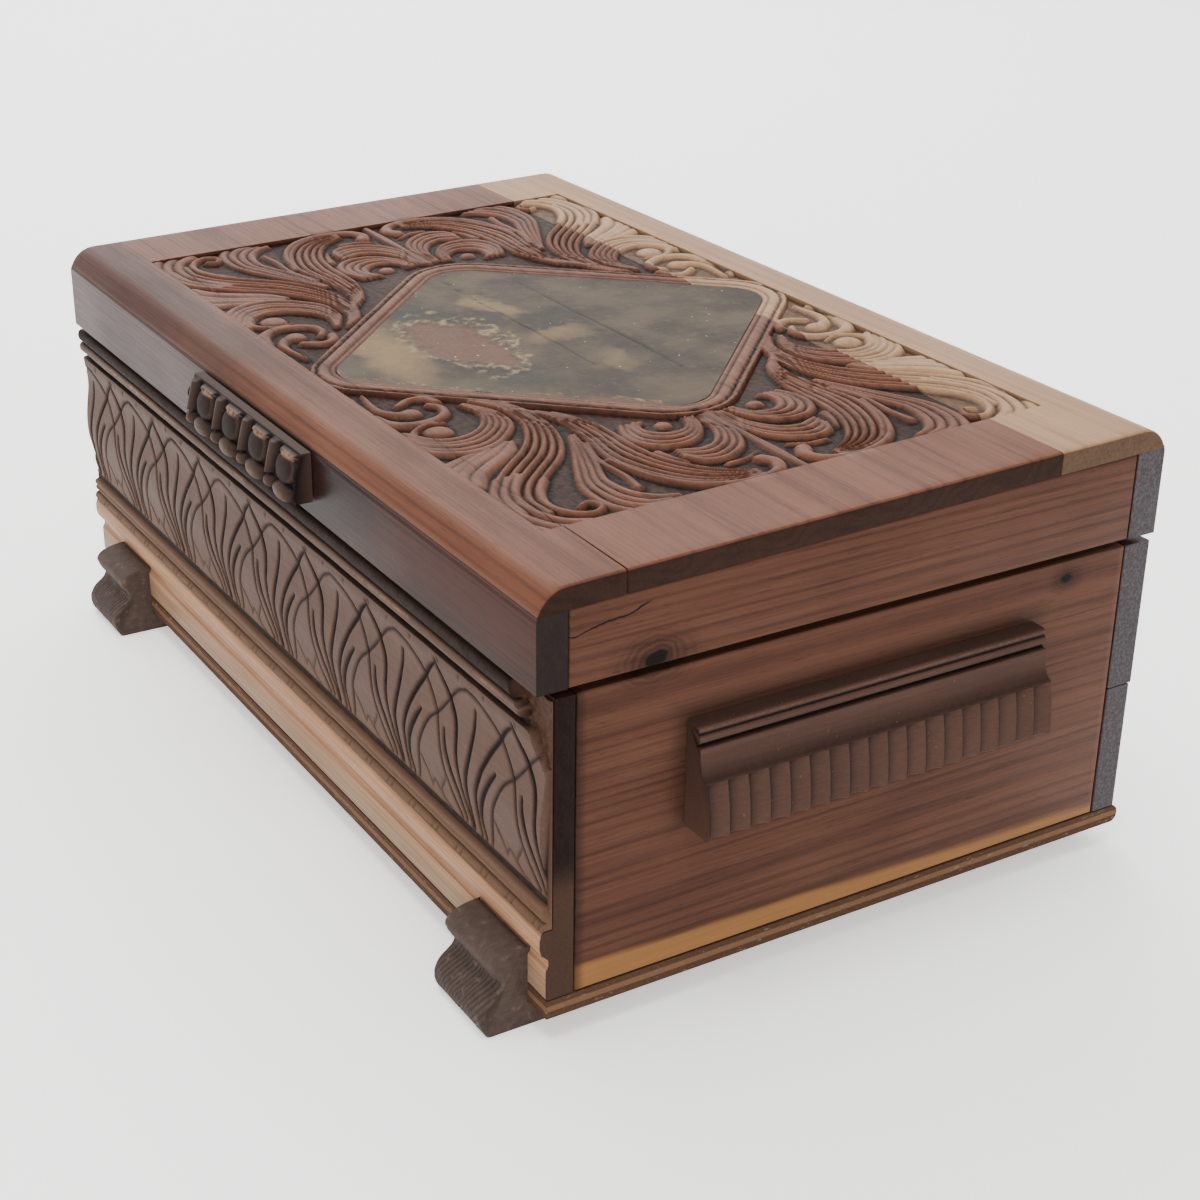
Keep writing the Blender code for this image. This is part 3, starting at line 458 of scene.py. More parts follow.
def edge_drop(gap, radius):
    """How far a rounded edge has fallen at a distance in from the edge."""
    inward = np.clip(radius - gap, 0, radius)
    return radius - np.sqrt(np.maximum(0.0, radius ** 2 - inward ** 2))


def steps_between(low, high, pitch):
    return np.linspace(low, high, max(2, int(round((high - low) / pitch)) + 1))


def lengthwise(fine, coarse=2.5):
    """Places along the lid: close together over the field and at the rounded ends."""
    end = END_ROUNDING * (1 - np.cos(np.linspace(0, math.pi / 2, 5)))
    ends = steps_between(FIELD_X + 0.08, HALF_LENGTH - END_ROUNDING, coarse)
    right_side = np.concatenate((ends, (HALF_LENGTH - end)[::-1]))
    field = steps_between(-FIELD_X + 0.06, FIELD_X - 0.06, fine)
    return np.unique(np.round(np.concatenate((-right_side, field, right_side)), 4))


def lofted(name, rings, shading_and_wear=None, left_open=None, sharp=50):
    """A closed piece through rings of points in millimetres from the lid's middle, one for each slice."""
    slices, size = rings.shape[:2]
    points = rings.reshape(-1, 3) / 1000
    points[:, 1] += LID_MIDDLE
    faces = []
    for here in range(slices - 1):
        for step in range(size):
            if left_open is None or step >= left_open.shape[1] or not left_open[here, step]:
                after = (step + 1) % size
                near = here * size
                far = near + size
                faces.append((near + step, far + step, far + after, near + after))
    faces.append(tuple(range(size)))
    faces.append(tuple(reversed(range((slices - 1) * size, slices * size))))
    mesh = bpy.data.meshes.new(name)
    mesh.from_pydata(points.tolist(), [], faces)
    # The mark holds painted shade, painted highlights and rubbed wear for the material to read.
    if shading_and_wear is not None:
        values = np.zeros((slices, size))
        values[:, :shading_and_wear.shape[1]] = shading_and_wear
        mesh.attributes.new("shading_and_wear", "FLOAT", "POINT").data.foreach_set("value", values.ravel())
    shape = bmesh.new()
    shape.from_mesh(mesh)
    if left_open is not None and left_open.any():
        loose = [point for point in shape.verts if not point.link_faces]
        bmesh.ops.delete(shape, geom=loose, context="VERTS")
        bmesh.ops.edgeloop_fill(shape, edges=[edge for edge in shape.edges if len(edge.link_faces) == 1])
    bmesh.ops.recalc_face_normals(shape, faces=shape.faces)
    shape.to_mesh(mesh)
    shape.free()
    mesh.shade_smooth()
    mesh.set_sharp_from_angle(angle=math.radians(sharp))
    item = bpy.data.objects.new(name, mesh)
    bpy.context.scene.collection.objects.link(item)
    return item


def plank(name, y_places, front_gap, back_gap, fine):
    """A board whose upper face follows the relief; gaps open its joints towards the right end."""
    x_places = lengthwise(fine)
    x, y = np.meshgrid(x_places, y_places, indexing="ij")
    level, dark = top_relief(x, y)
    level = level - edge_drop(HALF_DEPTH - np.abs(y), EDGE_ROUNDING)
    level = level - edge_drop(HALF_LENGTH - np.abs(x), END_ROUNDING)
    level = np.maximum(level, -PLANK_THICKNESS + 0.25)
    open_share = np.clip((x - 96) / 34, 0, 1)
    at_front = y == y_places[0]
    at_back = y == y_places[-1]
    y = y + np.where(at_front, front_gap * open_share, 0) - np.where(at_back, back_gap * open_share, 0)
    top = np.stack((x, y, TOP_LEVEL + LID_RISE * y + level), -1)
    base = top[:, [-1, 0]].copy()
    base[:, :, 2] = TOP_LEVEL + LID_RISE * base[:, :, 1] - PLANK_THICKNESS
    under_print = diamond_distance(x, y) < -1.2
    seat = under_print[:-1, :-1] & under_print[1:, :-1] & under_print[:-1, 1:] & under_print[1:, 1:]
    return lofted(name, np.concatenate((top, base), 1), dark, seat)


def cedar(name, grain="X", pith=(30.0, -70.0), ring_pitch=3.4, heart=(0.128, 0.050, 0.028),
          late=(0.062, 0.024, 0.015), darkened=(0.006, 0.0045, 0.004), ends=(0.0045, 0.0033, 0.003),
          end_at=None, sheen=0.03, carved=False, depth=1.0, extra=None):
    """Varnished cedar: rings about a pith, fine fibres, flecks, dark end grain and painted shade in carved
    hollows.
    """
    material, shader, tone = finish(name, coat=sheen, coat_roughness=0.28)
    thin = {"X": (0.02, 1.0, 1.0), "Y": (1.0, 0.02, 1.0)}[grain]
    wander = tone.noise(tone.place(tuple(0.02 * share if share < 1 else 0.05 for share in thin)), 1.0, 2.0)
    cross = tone.axis("Y" if grain == "X" else "X") - pith[0]
    height = tone.axis("Z") - pith[1]
    radius = (cross * cross + height * height).math("SQRT") + wander * 22.0
    wave = (radius * (2 * math.pi / ring_pitch)).math("SINE") * 0.5 + 0.5
    line = wave.math("POWER", 3.0)
    fibre = tone.noise(tone.place(tuple(share * 1.7 for share in thin)), 1.0, 4.0, 0.65)
    streak = tone.noise(tone.place(tuple(share * 0.16 for share in thin)), 1.0, 3.0)
    cloud = tone.noise(tone.place((0.02, 0.02, 0.02)), 1.0, 2.0)
    pore_shape = tuple(share * 5.0 if share == 1.0 else share * 9.0 for share in thin)
    pores = tone.noise(tone.place(pore_shape), 1.0, 1.0)
    dark_share = line * 0.38 + (fibre - 0.5) * 1.2 + (streak - 0.5) * 0.9 + (cloud - 0.5) * 0.9 + 0.26
    colour = dark_share.clamped().tint(heart, late)
    fleck = pores.between(0.66, 0.74) * 0.45
    colour = fleck.tint(colour, darkened)
    if end_at is not None:
        at_end = tone.axis("X").math("ABSOLUTE").between(end_at - 0.25, end_at - 0.05)
        end_speck = tone.noise(tone.place((1.5, 1.5, 1.5)), 1.0, 3.0)
        end_grain = end_speck.between(0.35, 0.8).tint(ends, tuple(2.0 * channel for channel in ends))
        colour = (at_end * 0.82).tint(colour, end_grain)
    roughness = (fibre - 0.5) * 0.3 + 0.42 + (cloud - 0.5) * 0.25
    # Carved pieces are darkened by the mesh's shading mark: painted shade in their hollows.
    if carved:
        dark = tone.mark("shading_and_wear")
        blotches = tone.noise(tone.place((0.6, 0.6, 0.6)), 1.0, 3.0)
        shade_and_dirt = (dark * (blotches * 0.5 + 0.75)).clamped()
        colour = shade_and_dirt.tint(colour, darkened)
        roughness = roughness + shade_and_dirt * 0.2
    if extra:
        colour = extra(tone, colour)
    bump = tone.relief(fibre * 0.6 + pores * 0.25 - line * 0.3, 0.35 * depth, 0.0004)
    feed(shader, Base_Color=colour, Roughness=roughness, Normal=bump)
    return material


def rounding(first_turn, last_turn):
    """How far in from the lid's edge the points of its rounded edge lie, by angle in degrees."""
    return EDGE_ROUNDING * (1 - np.cos(np.radians(np.linspace(first_turn, last_turn, 14))))


FLAT_REACH = HALF_DEPTH - EDGE_ROUNDING - 0.8
FRONT_PLACES = np.concatenate((-HALF_DEPTH + rounding(17, 90),
                               steps_between(-FLAT_REACH, -FIELD_Y - 0.08, 2.0),
                               steps_between(-FIELD_Y + 0.06, FRONT_JOINT - 0.02, FACE_STEP)))
BACK_PLACES = np.concatenate((steps_between(BACK_JOINT + 0.02, FIELD_Y - 0.06, FACE_STEP),
                              steps_between(FIELD_Y + 0.08, FLAT_REACH, 2.0), HALF_DEPTH - rounding(90, 17)))
MIDDLE_PLACES = steps_between(FRONT_JOINT + 0.08, BACK_JOINT - 0.03, FACE_STEP)
sap_tones = {"heart": (0.30, 0.178, 0.098), "late": (0.195, 0.106, 0.058), "ends": (0.035, 0.02, 0.013),
             "darkened": (0.050, 0.030, 0.020)}


def stands_for(piece, body, slot, *replaced):
    """Lets a piece ride on a body in place of its plain nodes."""
    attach(piece, body)
    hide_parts(*replaced)


def front_left_darkening(tone, colour):
    """The front border is darker towards the left."""
    haze = tone.noise(tone.place((0.03, 0.03, 0.03)), 1.0, 3.0)
    across = tone.axis("Y") - LID_MIDDLE * 1000 + (haze - 0.5) * 10.0
    along = tone.axis("X") + (haze - 0.5) * 70.0
    share = (1.0 - along.between(-70.0, 30.0)) * (1.0 - across.between(-69.0, -63.0))
    return (share * 0.62).tint(colour, (0.024, 0.015, 0.014))


for name, places, front_gap, back_gap, tones, pith in (
        ("lid_plank_front", FRONT_PLACES, 0.0, 0.30, {"extra": front_left_darkening}, (-95.0, 20.0)),
        ("lid_plank_middle", MIDDLE_PLACES, 0.05, 0.0, {}, (-30.0, 210.0)),
        ("lid_plank_back", BACK_PLACES, 0.0, 0.0, sap_tones, (10.0, 260.0))):
    board = plank(name + "_carved", places, front_gap, back_gap, FACE_STEP)
    wood = cedar("cedar_of_" + name, pith=pith, end_at=HALF_LENGTH, carved=True, **tones)
    board.data.materials.append(wood)
    stands_for(board, "lid", "cedar_sapwood" if name == "lid_plank_back" else "red_cedar", name)

# Print: a paper landscape glued into the diamond under varnish that has gone brown. It has cockled,
# two cracks of the board show through, and paper has flaked away near the middle and along two edges.
PRINT_LEVEL = -0.52
PRINT_RINGS = 84
PRINT_SIDES = 264
ring_share = np.linspace(0.006, 1, PRINT_RINGS)[:, None]
side_turn = np.linspace(0, 2 * math.pi, PRINT_SIDES, endpoint=False)[None, :]
reach = np.full_like(side_turn, 40.0)
for _ in range(40):
    off = diamond_distance(DIAMOND_X + reach * np.cos(side_turn), reach * np.sin(side_turn))
    reach = reach - off * 0.8 - 0.16
print_x = DIAMOND_X + ring_share * reach * np.cos(side_turn)
print_y = ring_share * reach * np.sin(side_turn)


def paper_surface(x, y):
    """Height of the paper over the lid's plane, how bare the wood is, and how pale the torn edge is."""
    ragged = mottle(x, y, 5.0, 21) + 0.6 * mottle(x, y, 1.8, 22)
    flake = 1.25 - np.hypot((x + 1) / 19, (y + 25) / 9.0) + 0.34 * ragged
    rim = -diamond_distance(x, y)
    exposed = np.clip((x + 12) / 20, 0, 1) * np.clip((24 - y) / 30, 0, 1)
    edge_tear = 2.0 - rim + 1.6 * ragged - 6.0 * (1 - exposed)
    torn = np.maximum(flake, edge_tear * 0.45) * 5
    bare = np.clip(torn - 0.8, 0, 1)
    pale = np.clip(1 - np.abs(torn - 0.3) * 1.4, 0, 1)
    cockle = 0.10 * mottle(x, y, 11.0, 23) + 0.05 * mottle(x, y, 3.5, 24)
    far_crack = np.abs(y - 12 - 0.5 * mottle(x, x, 14.0, 25)) / 0.5
    near_crack = np.abs(y + 5 - 0.4 * mottle(x, x, 11.0, 26)) / 0.45
    crack = notched(np.minimum(1, far_crack)) * (x > -38) * (x < 42)
    crack = crack + notched(np.minimum(1, near_crack)) * (x < 30)
    return PRINT_LEVEL + cockle - 0.2 * bare + 0.12 * pale - 0.22 * crack, bare, pale, crack


paper_level, bare, pale, crack = paper_surface(print_x, print_y)
paper_points = np.stack((print_x, print_y, TOP_LEVEL + LID_RISE * print_y + paper_level), -1)
paper_skirt = paper_points[-1:].copy()
paper_skirt[:, :, 2] = TOP_LEVEL + LID_RISE * paper_skirt[:, :, 1] - SEAT_DEPTH + 0.05
paper = lofted("cartouche_print_worn", np.concatenate((paper_points, paper_skirt)), None)
for name, values in (("bare", bare), ("pale", pale), ("crack", crack)):
    padded = np.concatenate((values, values[-1:])).ravel()
    paper.data.attributes.new(name, "FLOAT", "POINT").data.foreach_set("value", padded)


def landscape(tone):
    """Trees over a sunlit clearing, all of it soft and faded."""
    warp = tone.noise(tone.place((0.09, 0.09, 0.09)), 1.0, 3.0)
    ripple = tone.noise(tone.place((0.09, 0.09, 0.09), (7.0, 3.0, 0.0)), 1.0, 3.0)
    x = tone.axis("X") + (warp - 0.5) * 16.0
    y = tone.axis("Y") - LID_MIDDLE * 1000 + (ripple - 0.5) * 16.0
    leaves = tone.noise(tone.place((0.32, 0.32, 0.32)), 1.0, 5.0, 0.7)
    masses = tone.noise(tone.place((0.055, 0.055, 0.055), (2.0, 9.0, 0.0)), 1.0, 3.0)
    colour = masses.between(0.35, 0.7).tint((0.026, 0.020, 0.015), (0.063, 0.045, 0.028))
    colour = (leaves.between(0.45, 0.85) * 0.6).tint(colour, (0.105, 0.074, 0.043))

    def patch(place, size, low, high):
        across = (x - place[0]) / size[0]
        along = (y - place[1]) / size[1]
        return (1.0 - across * across - along * along).between(low, high) * (leaves * 0.9 + 0.4)

    for place, size, share, tint in (((-24, -6), (13, 5), 0.7, (0.19, 0.125, 0.058)),
                                     ((4, -1), (5, 11), 0.6, (0.18, 0.12, 0.055)),
                                     ((27, 2), (10, 4), 0.5, (0.14, 0.10, 0.05)),
                                     ((-6, -44), (30, 9), 0.85, (0.19, 0.12, 0.055)),
                                     ((-30, -24), (7, 11), 0.8, (0.018, 0.017, 0.014)),
                                     ((27, -23), (12, 9), 0.8, (0.018, 0.018, 0.015)),
                                     ((2, -57), (16, 6), 0.7, (0.055, 0.046, 0.030))):
        colour = (patch(place, size, -0.3, 1.1) * share).clamped().tint(colour, tint)
    return colour, leaves


print_finish, print_shader, tone = finish("varnished_print", coat_roughness=0.25)
colour, leaves = landscape(tone)
fibres = tone.noise(tone.place((0.9, 0.9, 0.9)), 1.0, 4.0)
colour = tone.mark("bare").tint(colour, fibres.tint((0.055, 0.027, 0.018), (0.115, 0.058, 0.037)))
colour = (tone.mark("pale") * 0.75 * leaves.between(0.42, 0.56)).tint(colour, (0.25, 0.185, 0.10))
fleck = tone.noise(tone.place((0.45, 0.9, 0.5), (4.0, 1.0, 0.0)), 1.0, 2.0).between(0.735, 0.76)
colour = (fleck * 0.7).tint(colour, (0.45, 0.42, 0.35))
colour = (tone.mark("crack") * 0.75).tint(colour, (0.008, 0.007, 0.006))
feed(print_shader, Base_Color=colour, Roughness=leaves * 0.3 + 0.42,
     Normal=tone.relief(fibres + leaves * 0.5, 0.35, 0.0003))
print_shader.inputs["Coat Weight"].default_value = 0.05
paper.data.materials.append(print_finish)
stands_for(paper, "lid", "varnished_print", "cartouche_print")

# Frame of the lid: front and back rails butted over two end boards, glued under the top.
# The rails' ends show black end grain; a knot crosses the seam on the right end board.
SEAM = lid_front.z * 1000
SEAM_KNOT = (-54.0, 1.5, 4.2)           # along the end, above the seam, and its radius


def eased_board(node, width=0.45, least=8.0):
    """A copy of a board with its long edges eased as by sandpaper, widths in millimetres."""
    mesh = nodes[node].data.copy()
    mesh.name = node + "_eased"
    mesh.materials.clear()
    shape = bmesh.new()
    shape.from_mesh(mesh)
    bmesh.ops.remove_doubles(shape, verts=shape.verts, dist=1e-6)
    bmesh.ops.dissolve_limit(shape, angle_limit=math.radians(1), verts=shape.verts, edges=shape.edges)
    edges = []
    for edge in shape.edges:
        if len(edge.link_faces) == 2 and edge.calc_length() > least / 1000:
            if edge.calc_face_angle(0) > math.radians(40):
                edges.append(edge)
    bmesh.ops.bevel(shape, geom=edges, offset=width / 1000, segments=2, profile=0.5, affect="EDGES",
                    clamp_overlap=True)
    shape.to_mesh(mesh)
    shape.free()
    mesh.shade_smooth()
    mesh.set_sharp_from_angle(angle=math.radians(38))
    item = bpy.data.objects.new(node + "_eased", mesh)
    bpy.context.scene.collection.objects.link(item)
    return item


def fit_board(node, body, material, slot="red_cedar", width=0.45):
    board = eased_board(node, width)
    board.data.materials.append(material)
    stands_for(board, body, slot, node)


def knot(tone, colour, across, height, radius):
    """A dark knot with bent grain round it, on an end board, placed in Y and Z millimetres."""
    bend = tone.noise(tone.place((0.25, 0.25, 0.25)), 1.0, 2.0)
    y = tone.axis("Y") - (across + LID_MIDDLE * 1000)
    z = (tone.axis("Z") - (SEAM + height)) * 1.5
    distance = (y * y + z * z).math("SQRT") + (bend - 0.5) * radius * 0.8
    rings = (distance * (2 * math.pi / (radius * 0.42))).math("SINE") * 0.5 + 0.5
    halo = 1.0 - distance.between(radius * 0.6, radius * 3.2)
    colour = (halo * (rings * 0.4 + 0.35)).tint(colour, (0.012, 0.006, 0.005))
    return (1.0 - distance.between(radius * 0.45, radius * 1.0)).tint(colour, (0.005, 0.0035, 0.003))


def lid_end_marks(tone, colour):
    """The knot on the seam and a short crack near the front of the right end board."""
    colour = knot(tone, colour, *SEAM_KNOT)
    y = tone.axis("Y") - LID_MIDDLE * 1000
    wander = tone.noise(tone.place((0.2, 0.2, 0.2)), 1.0, 2.0)
    rise = tone.axis("Z") - SEAM - (y + 74.0) * 0.2 - 10.6 - (wander - 0.5) * 2.0
    line = (1.0 - rise.math("ABSOLUTE").between(0.08, 0.3)) * (1.0 - y.between(-57.0, -54.0))
    return line.tint(colour, (0.008, 0.006, 0.005))


deep = {"heart": (0.050, 0.018, 0.013), "late": (0.021, 0.0085, 0.007)}
red = {"heart": (0.095, 0.041, 0.025), "late": (0.038, 0.0155, 0.011)}
pull_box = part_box("lid_pull")
pull_middle = (pull_box[0].x + pull_box[1].x) * 500


def painted_pull_shadow(tone, colour):
    """A painted shadow around the pull, heaviest to its right."""
    haze = tone.noise(tone.place((0.04, 0.04, 0.04)), 1.0, 3.0)
    x = (tone.axis("X") - pull_middle - 18.0) / 62.0
    z = (tone.axis("Z") - SEAM - 11.0) / 17.0
    near = 1.0 - (x * x + z * z).math("SQRT") + (haze - 0.5) * 0.6
    return (near.between(-0.2, 0.5) * 0.8).tint(colour, (0.010, 0.0055, 0.005))


rail_cedar = cedar("cedar_lid_front_rail", pith=(-140.0, 60.0), end_at=HALF_LENGTH, depth=0.8,
                   extra=painted_pull_shadow, sheen=0.12, **deep)
# Paler, greyer end grain for the back rail and back boards.
pale_grey_ends = (0.046, 0.043, 0.047)
back_rail_cedar = cedar("cedar_lid_back_rail", pith=(150.0, 60.0), end_at=HALF_LENGTH, depth=0.8,
                        ends=pale_grey_ends, **deep)
lid_end_cedar = cedar("cedar_lid_ends", grain="Y", pith=(60.0, 20.0), ring_pitch=2.3,
                      extra=lid_end_marks, **red)
fit_board("lid_front_rail", "lid", rail_cedar)
fit_board("lid_back_rail", "lid", back_rail_cedar)
fit_board("lid_end_left", "lid", lid_end_cedar)
fit_board("lid_end_right", "lid", lid_end_cedar)

# Case walls: front and back boards run the full length over the two end panels.
# The panels are red heartwood with a pale sapwood edge along the bottom; the back is two boards.
def end_panel_marks(tone, colour):
    """The knots, the sapwood stripe that thins towards the back, and a painted shadow round the handle."""
    colour = knot(tone, colour, *SEAM_KNOT)
    colour = knot(tone, colour, 55.0, -5.6, 2.2)
    y = tone.axis("Y") - LID_MIDDLE * 1000
    wave = tone.noise(tone.place((0.05, 0.02, 0.2)), 1.0, 2.0)
    edge = tone.axis("Z") - SEAM + 64.0 + (y + 75.0) * 0.028 + (wave - 0.5) * 3.0
    fibre = tone.noise(tone.place((1.5, 0.04, 1.5)), 1.0, 3.0)
    colour = ((1.0 - edge.between(-1.6, 0.5)) * (fibre * 0.5 + 0.62)).tint(colour, (0.23, 0.108, 0.038))
    darkened = (1.0 - (y + 74.5).math("ABSOLUTE").between(3.0, 5.5)) * 0.6
    colour = darkened.tint(colour, (0.016, 0.009, 0.007))
    # A painted shadow round the handle.
    above_handle = (tone.axis("Z") - SEAM + 25.0).math("ABSOLUTE") - 13.0
    handle_gap = (y.math("ABSOLUTE") - 47.0).math("MAXIMUM", above_handle)
    halo = (1.0 - handle_gap.between(-2.0, 5.0)) * 0.45
    colour = halo.tint(colour, (0.020, 0.011, 0.008))
    worn = y.between(70.0, 73.0) * (1.0 - y.between(76.6, 77.0)) * 0.4
    return worn.tint(colour, (0.17, 0.085, 0.055))


def base_marks(tone, colour):
    """Below the moulding the front board is pale: orange at its bead and tan at its foot."""
    height = tone.axis("Z") - strip_foot
    fibre = tone.noise(tone.place((0.03, 1.5, 1.5)), 1.0, 3.0)
    at_end = tone.axis("X").math("ABSOLUTE").between(HALF_LENGTH - 0.4, HALF_LENGTH - 0.2)
    low = (1.0 - height.between(-2.0, 1.0)) * (1.0 - at_end)
    orange = fibre.between(0.3, 0.7).tint((0.40, 0.225, 0.125), (0.27, 0.135, 0.072))
    colour = (low * 0.9).tint(colour, orange)
    bare_end = at_end * (1.0 - height.between(6.0, 16.0))
    colour = (bare_end * 0.7).tint(colour, fibre.tint((0.075, 0.040, 0.026), (0.04, 0.021, 0.014)))
    foot = (1.0 - height.between(-14.0, -9.5)) * low
    tan = fibre.between(0.3, 0.7).tint((0.26, 0.17, 0.105), (0.19, 0.115, 0.07))
    return (foot * 0.85).tint(colour, tan)


strip_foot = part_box("front_carved_strip")[0].z * 1000
case_end_cedar = cedar("cedar_end_panels", grain="Y", pith=(40.0, -30.0), ring_pitch=2.6,
                       extra=end_panel_marks, **red)
front_cedar = cedar("cedar_front_board", pith=(-150.0, 20.0), end_at=HALF_LENGTH, extra=base_marks, **deep)
back_cedar = cedar("cedar_back_boards", pith=(160.0, 20.0), end_at=HALF_LENGTH, ends=pale_grey_ends, **deep)
fit_board("front_board", "case", front_cedar, width=0.3)
fit_board("back_board_upper", "case", back_cedar)
fit_board("back_board_lower", "case", back_cedar)
fit_board("end_panel_left", "case", case_end_cedar)
fit_board("end_panel_right", "case", case_end_cedar)

# Bottom: a sheet of three-ply, bare and dusty at its edges, its back edge rounded over.
# It runs under all four walls and is nailed up into them.
plywood, plywood_shader, tone = finish("plywood")
ply_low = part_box("bottom_board")[0].z * 1000
layer = (tone.axis("Z") - ply_low) / 4.5
speck = tone.noise(tone.place((0.35, 0.35, 1.5)), 1.0, 4.0)
fibre = tone.noise(tone.place((0.03, 1.3, 1.3)), 1.0, 4.0)
core = layer.between(0.36, 0.42) * (1.0 - layer.between(0.66, 0.72))
colour = fibre.tint((0.045, 0.022, 0.014), (0.085, 0.045, 0.028))
colour = (core * 0.8).tint(colour, speck.tint((0.19, 0.105, 0.055), (0.12, 0.062, 0.033)))
dust = speck.between(0.62, 0.7) * (0.5 - layer.between(0.9, 0.98) * 0.44)
colour = dust.tint(colour, (0.24, 0.21, 0.17))
feed(plywood_shader, Base_Color=colour, Roughness=0.7, Normal=tone.relief(speck + fibre, 0.5, 0.0004))
fit_board("bottom_board", "case", plywood, "plywood", 0.3)

# Front moulding: a strip of soft wood pressed between hot rollers, stained grey-brown and glued
# in a rebate. Two beads, a swelling band of palm fans under crossed arches, a double bead and a
# row of bead-and-reel; its right upper corner is broken off.
strip_low, strip_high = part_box("front_carved_strip")
STRIP_TOP = strip_high.z * 1000
STRIP_HEIGHT = (strip_high.z - strip_low.z) * 1000
STRIP_FACE = (strip_low.y - LID_MIDDLE) * 1000
STRIP_BACK = (strip_high.y - LID_MIDDLE) * 1000
STRIP_STEP = 0.2
FAN_PITCH = 33.3
FAN_START = 71.25 - 7 * FAN_PITCH
CHIP_LENGTH = 14.0
CHIP_HEIGHT = 15.5


def strip_section(drop):
    """How far the plain moulding stands behind its foremost face at a distance below its top."""
    def swelling(low, high, from_face, to_face):
        share = np.clip((drop - low) / (high - low), 0, 1)
        return from_face + (to_face - from_face) * (1 - np.cos(math.pi * share)) / 2

    face = np.where(drop < 15.5, swelling(8.2, 15.5, 1.1, 1.7), swelling(15.5, 28.5, 1.7, 0.45))
    face = np.where(drop > 28.5, swelling(28.5, 44.3, 0.45, 2.1), face)
    face = np.where((drop < 8.2) | (drop > 44.3), 2.3, face)
    for top, base, edge, bulge in ((0, 3.3, 1.1, 1.0), (3.8, 6.5, 1.1, 0.8), (46.4, 48.3, 1.9, 0.75),
                                   (48.3, 50.0, 1.9, 0.7), (50.4, 54.1, 1.7, 0.9)):
        share = np.clip(np.abs(drop - (top + base) / 2) / ((base - top) / 2), 0, 1)
        face = np.where((drop >= top) & (drop <= base), edge - bulge * rounded(share), face)
    return face


cuts = np.zeros((int(56 / STRIP_STEP), int((2 * HALF_LENGTH + 2) / STRIP_STEP)))


def cut_line(points, width, depth, count, tapered):
    """A pressed line, widest and deepest at its middle when it is tapered."""
    path = smooth_path(points, count)
    path[:, 0] += HALF_LENGTH
    share = np.linspace(0, 1, count)
    widths = width * (0.5 + 0.5 * np.sin(math.pi * share ** 0.75)) if tapered else np.full(count, width)
    stroke(cuts, STRIP_STEP, path, widths, depth, notched)


RIGHT_SWEEP = [(-2.7, 11.2), (2.1, 11.9), (7.1, 13.7), (11.3, 15.9), (14.6, 19.0), (17.6, 22.3),
               (19.0, 26.3), (20.4, 34.7), (22.8, 39.7), (26.7, 43.8)]
LEFT_SWEEP = [(-2.7, 11.2), (-6.7, 13.0), (-10.0, 15.9), (-12.9, 19.3), (-15.8, 22.3), (-19.2, 25.1),
              (-22.5, 30.1), (-25.0, 34.7), (-26.3, 39.7), (-26.7, 43.4)]
GOUGES = [[(-17.1, 10.1), (-15.8, 12.2), (-12.5, 15.1), (-10.0, 17.6), (-7.9, 20.5), (-6.9, 23.8),
           (-6.5, 28.8), (-5.4, 34.7), (-4.4, 38.8), (-2.1, 43.8)],
          [(0.3, 14.7), (0.0, 19.7), (-0.8, 25.5), (-2.5, 31.3), (-2.9, 35.5), (-2.5, 39.7), (-1.2, 43.8)],
          [(15.8, 11.3), (12.9, 13.8), (10.8, 16.8), (7.9, 20.5), (5.0, 25.5), (2.8, 30.1), (1.3, 33.8),
           (0.8, 39.7), (2.1, 43.7)],
          [(10.4, 24.5), (8.3, 27.2), (5.4, 31.5), (3.3, 35.5), (2.5, 39.7), (4.2, 43.8)],
          [(-12.1, 24.3), (-11.3, 28.8), (-9.2, 34.7), (-7.1, 38.8), (-4.6, 43.4)]]
CALYX = [[(8.6, 36.2), (10.8, 39.0), (12.9, 42.0)], [(12.9, 42.6), (14.0, 40.6), (15.2, 40.6), (16.9, 42.2)],
         [(21.0, 35.9), (18.6, 39.4), (17.2, 41.6), (19.0, 43.2), (22.9, 44.1)]]
NICKS = [[(18.2, 10.3), (17.3, 9.0)], [(4.6, 10.2), (5.4, 8.9)], [(-6.4, 10.3), (-5.5, 8.8)]]
for fan in range(10):
    middle = FAN_START + fan * FAN_PITCH
    for lines, width, depth, count, tapered in (((RIGHT_SWEEP, LEFT_SWEEP), 0.55, 0.95, 26, False),
                                                (GOUGES, 0.95, 1.25, 26, True),
                                                (CALYX, 0.42, 0.7, 10, True),
                                                (NICKS, 0.4, 0.8, 5, True)):
        for line in lines:
            moved = [(middle + place, drop) for place, drop in line]
            cut_line(moved, width, depth, count, tapered)
for mark in range(24):
    for shift in (0.0, 2.2):
        place = -HALF_LENGTH + 8.1 + mark * 11.1 + shift
        cut_line([(place + 0.7, 50.5), (place, 52.2), (place - 0.9, 53.6)], 0.36, 0.7, 6, True)

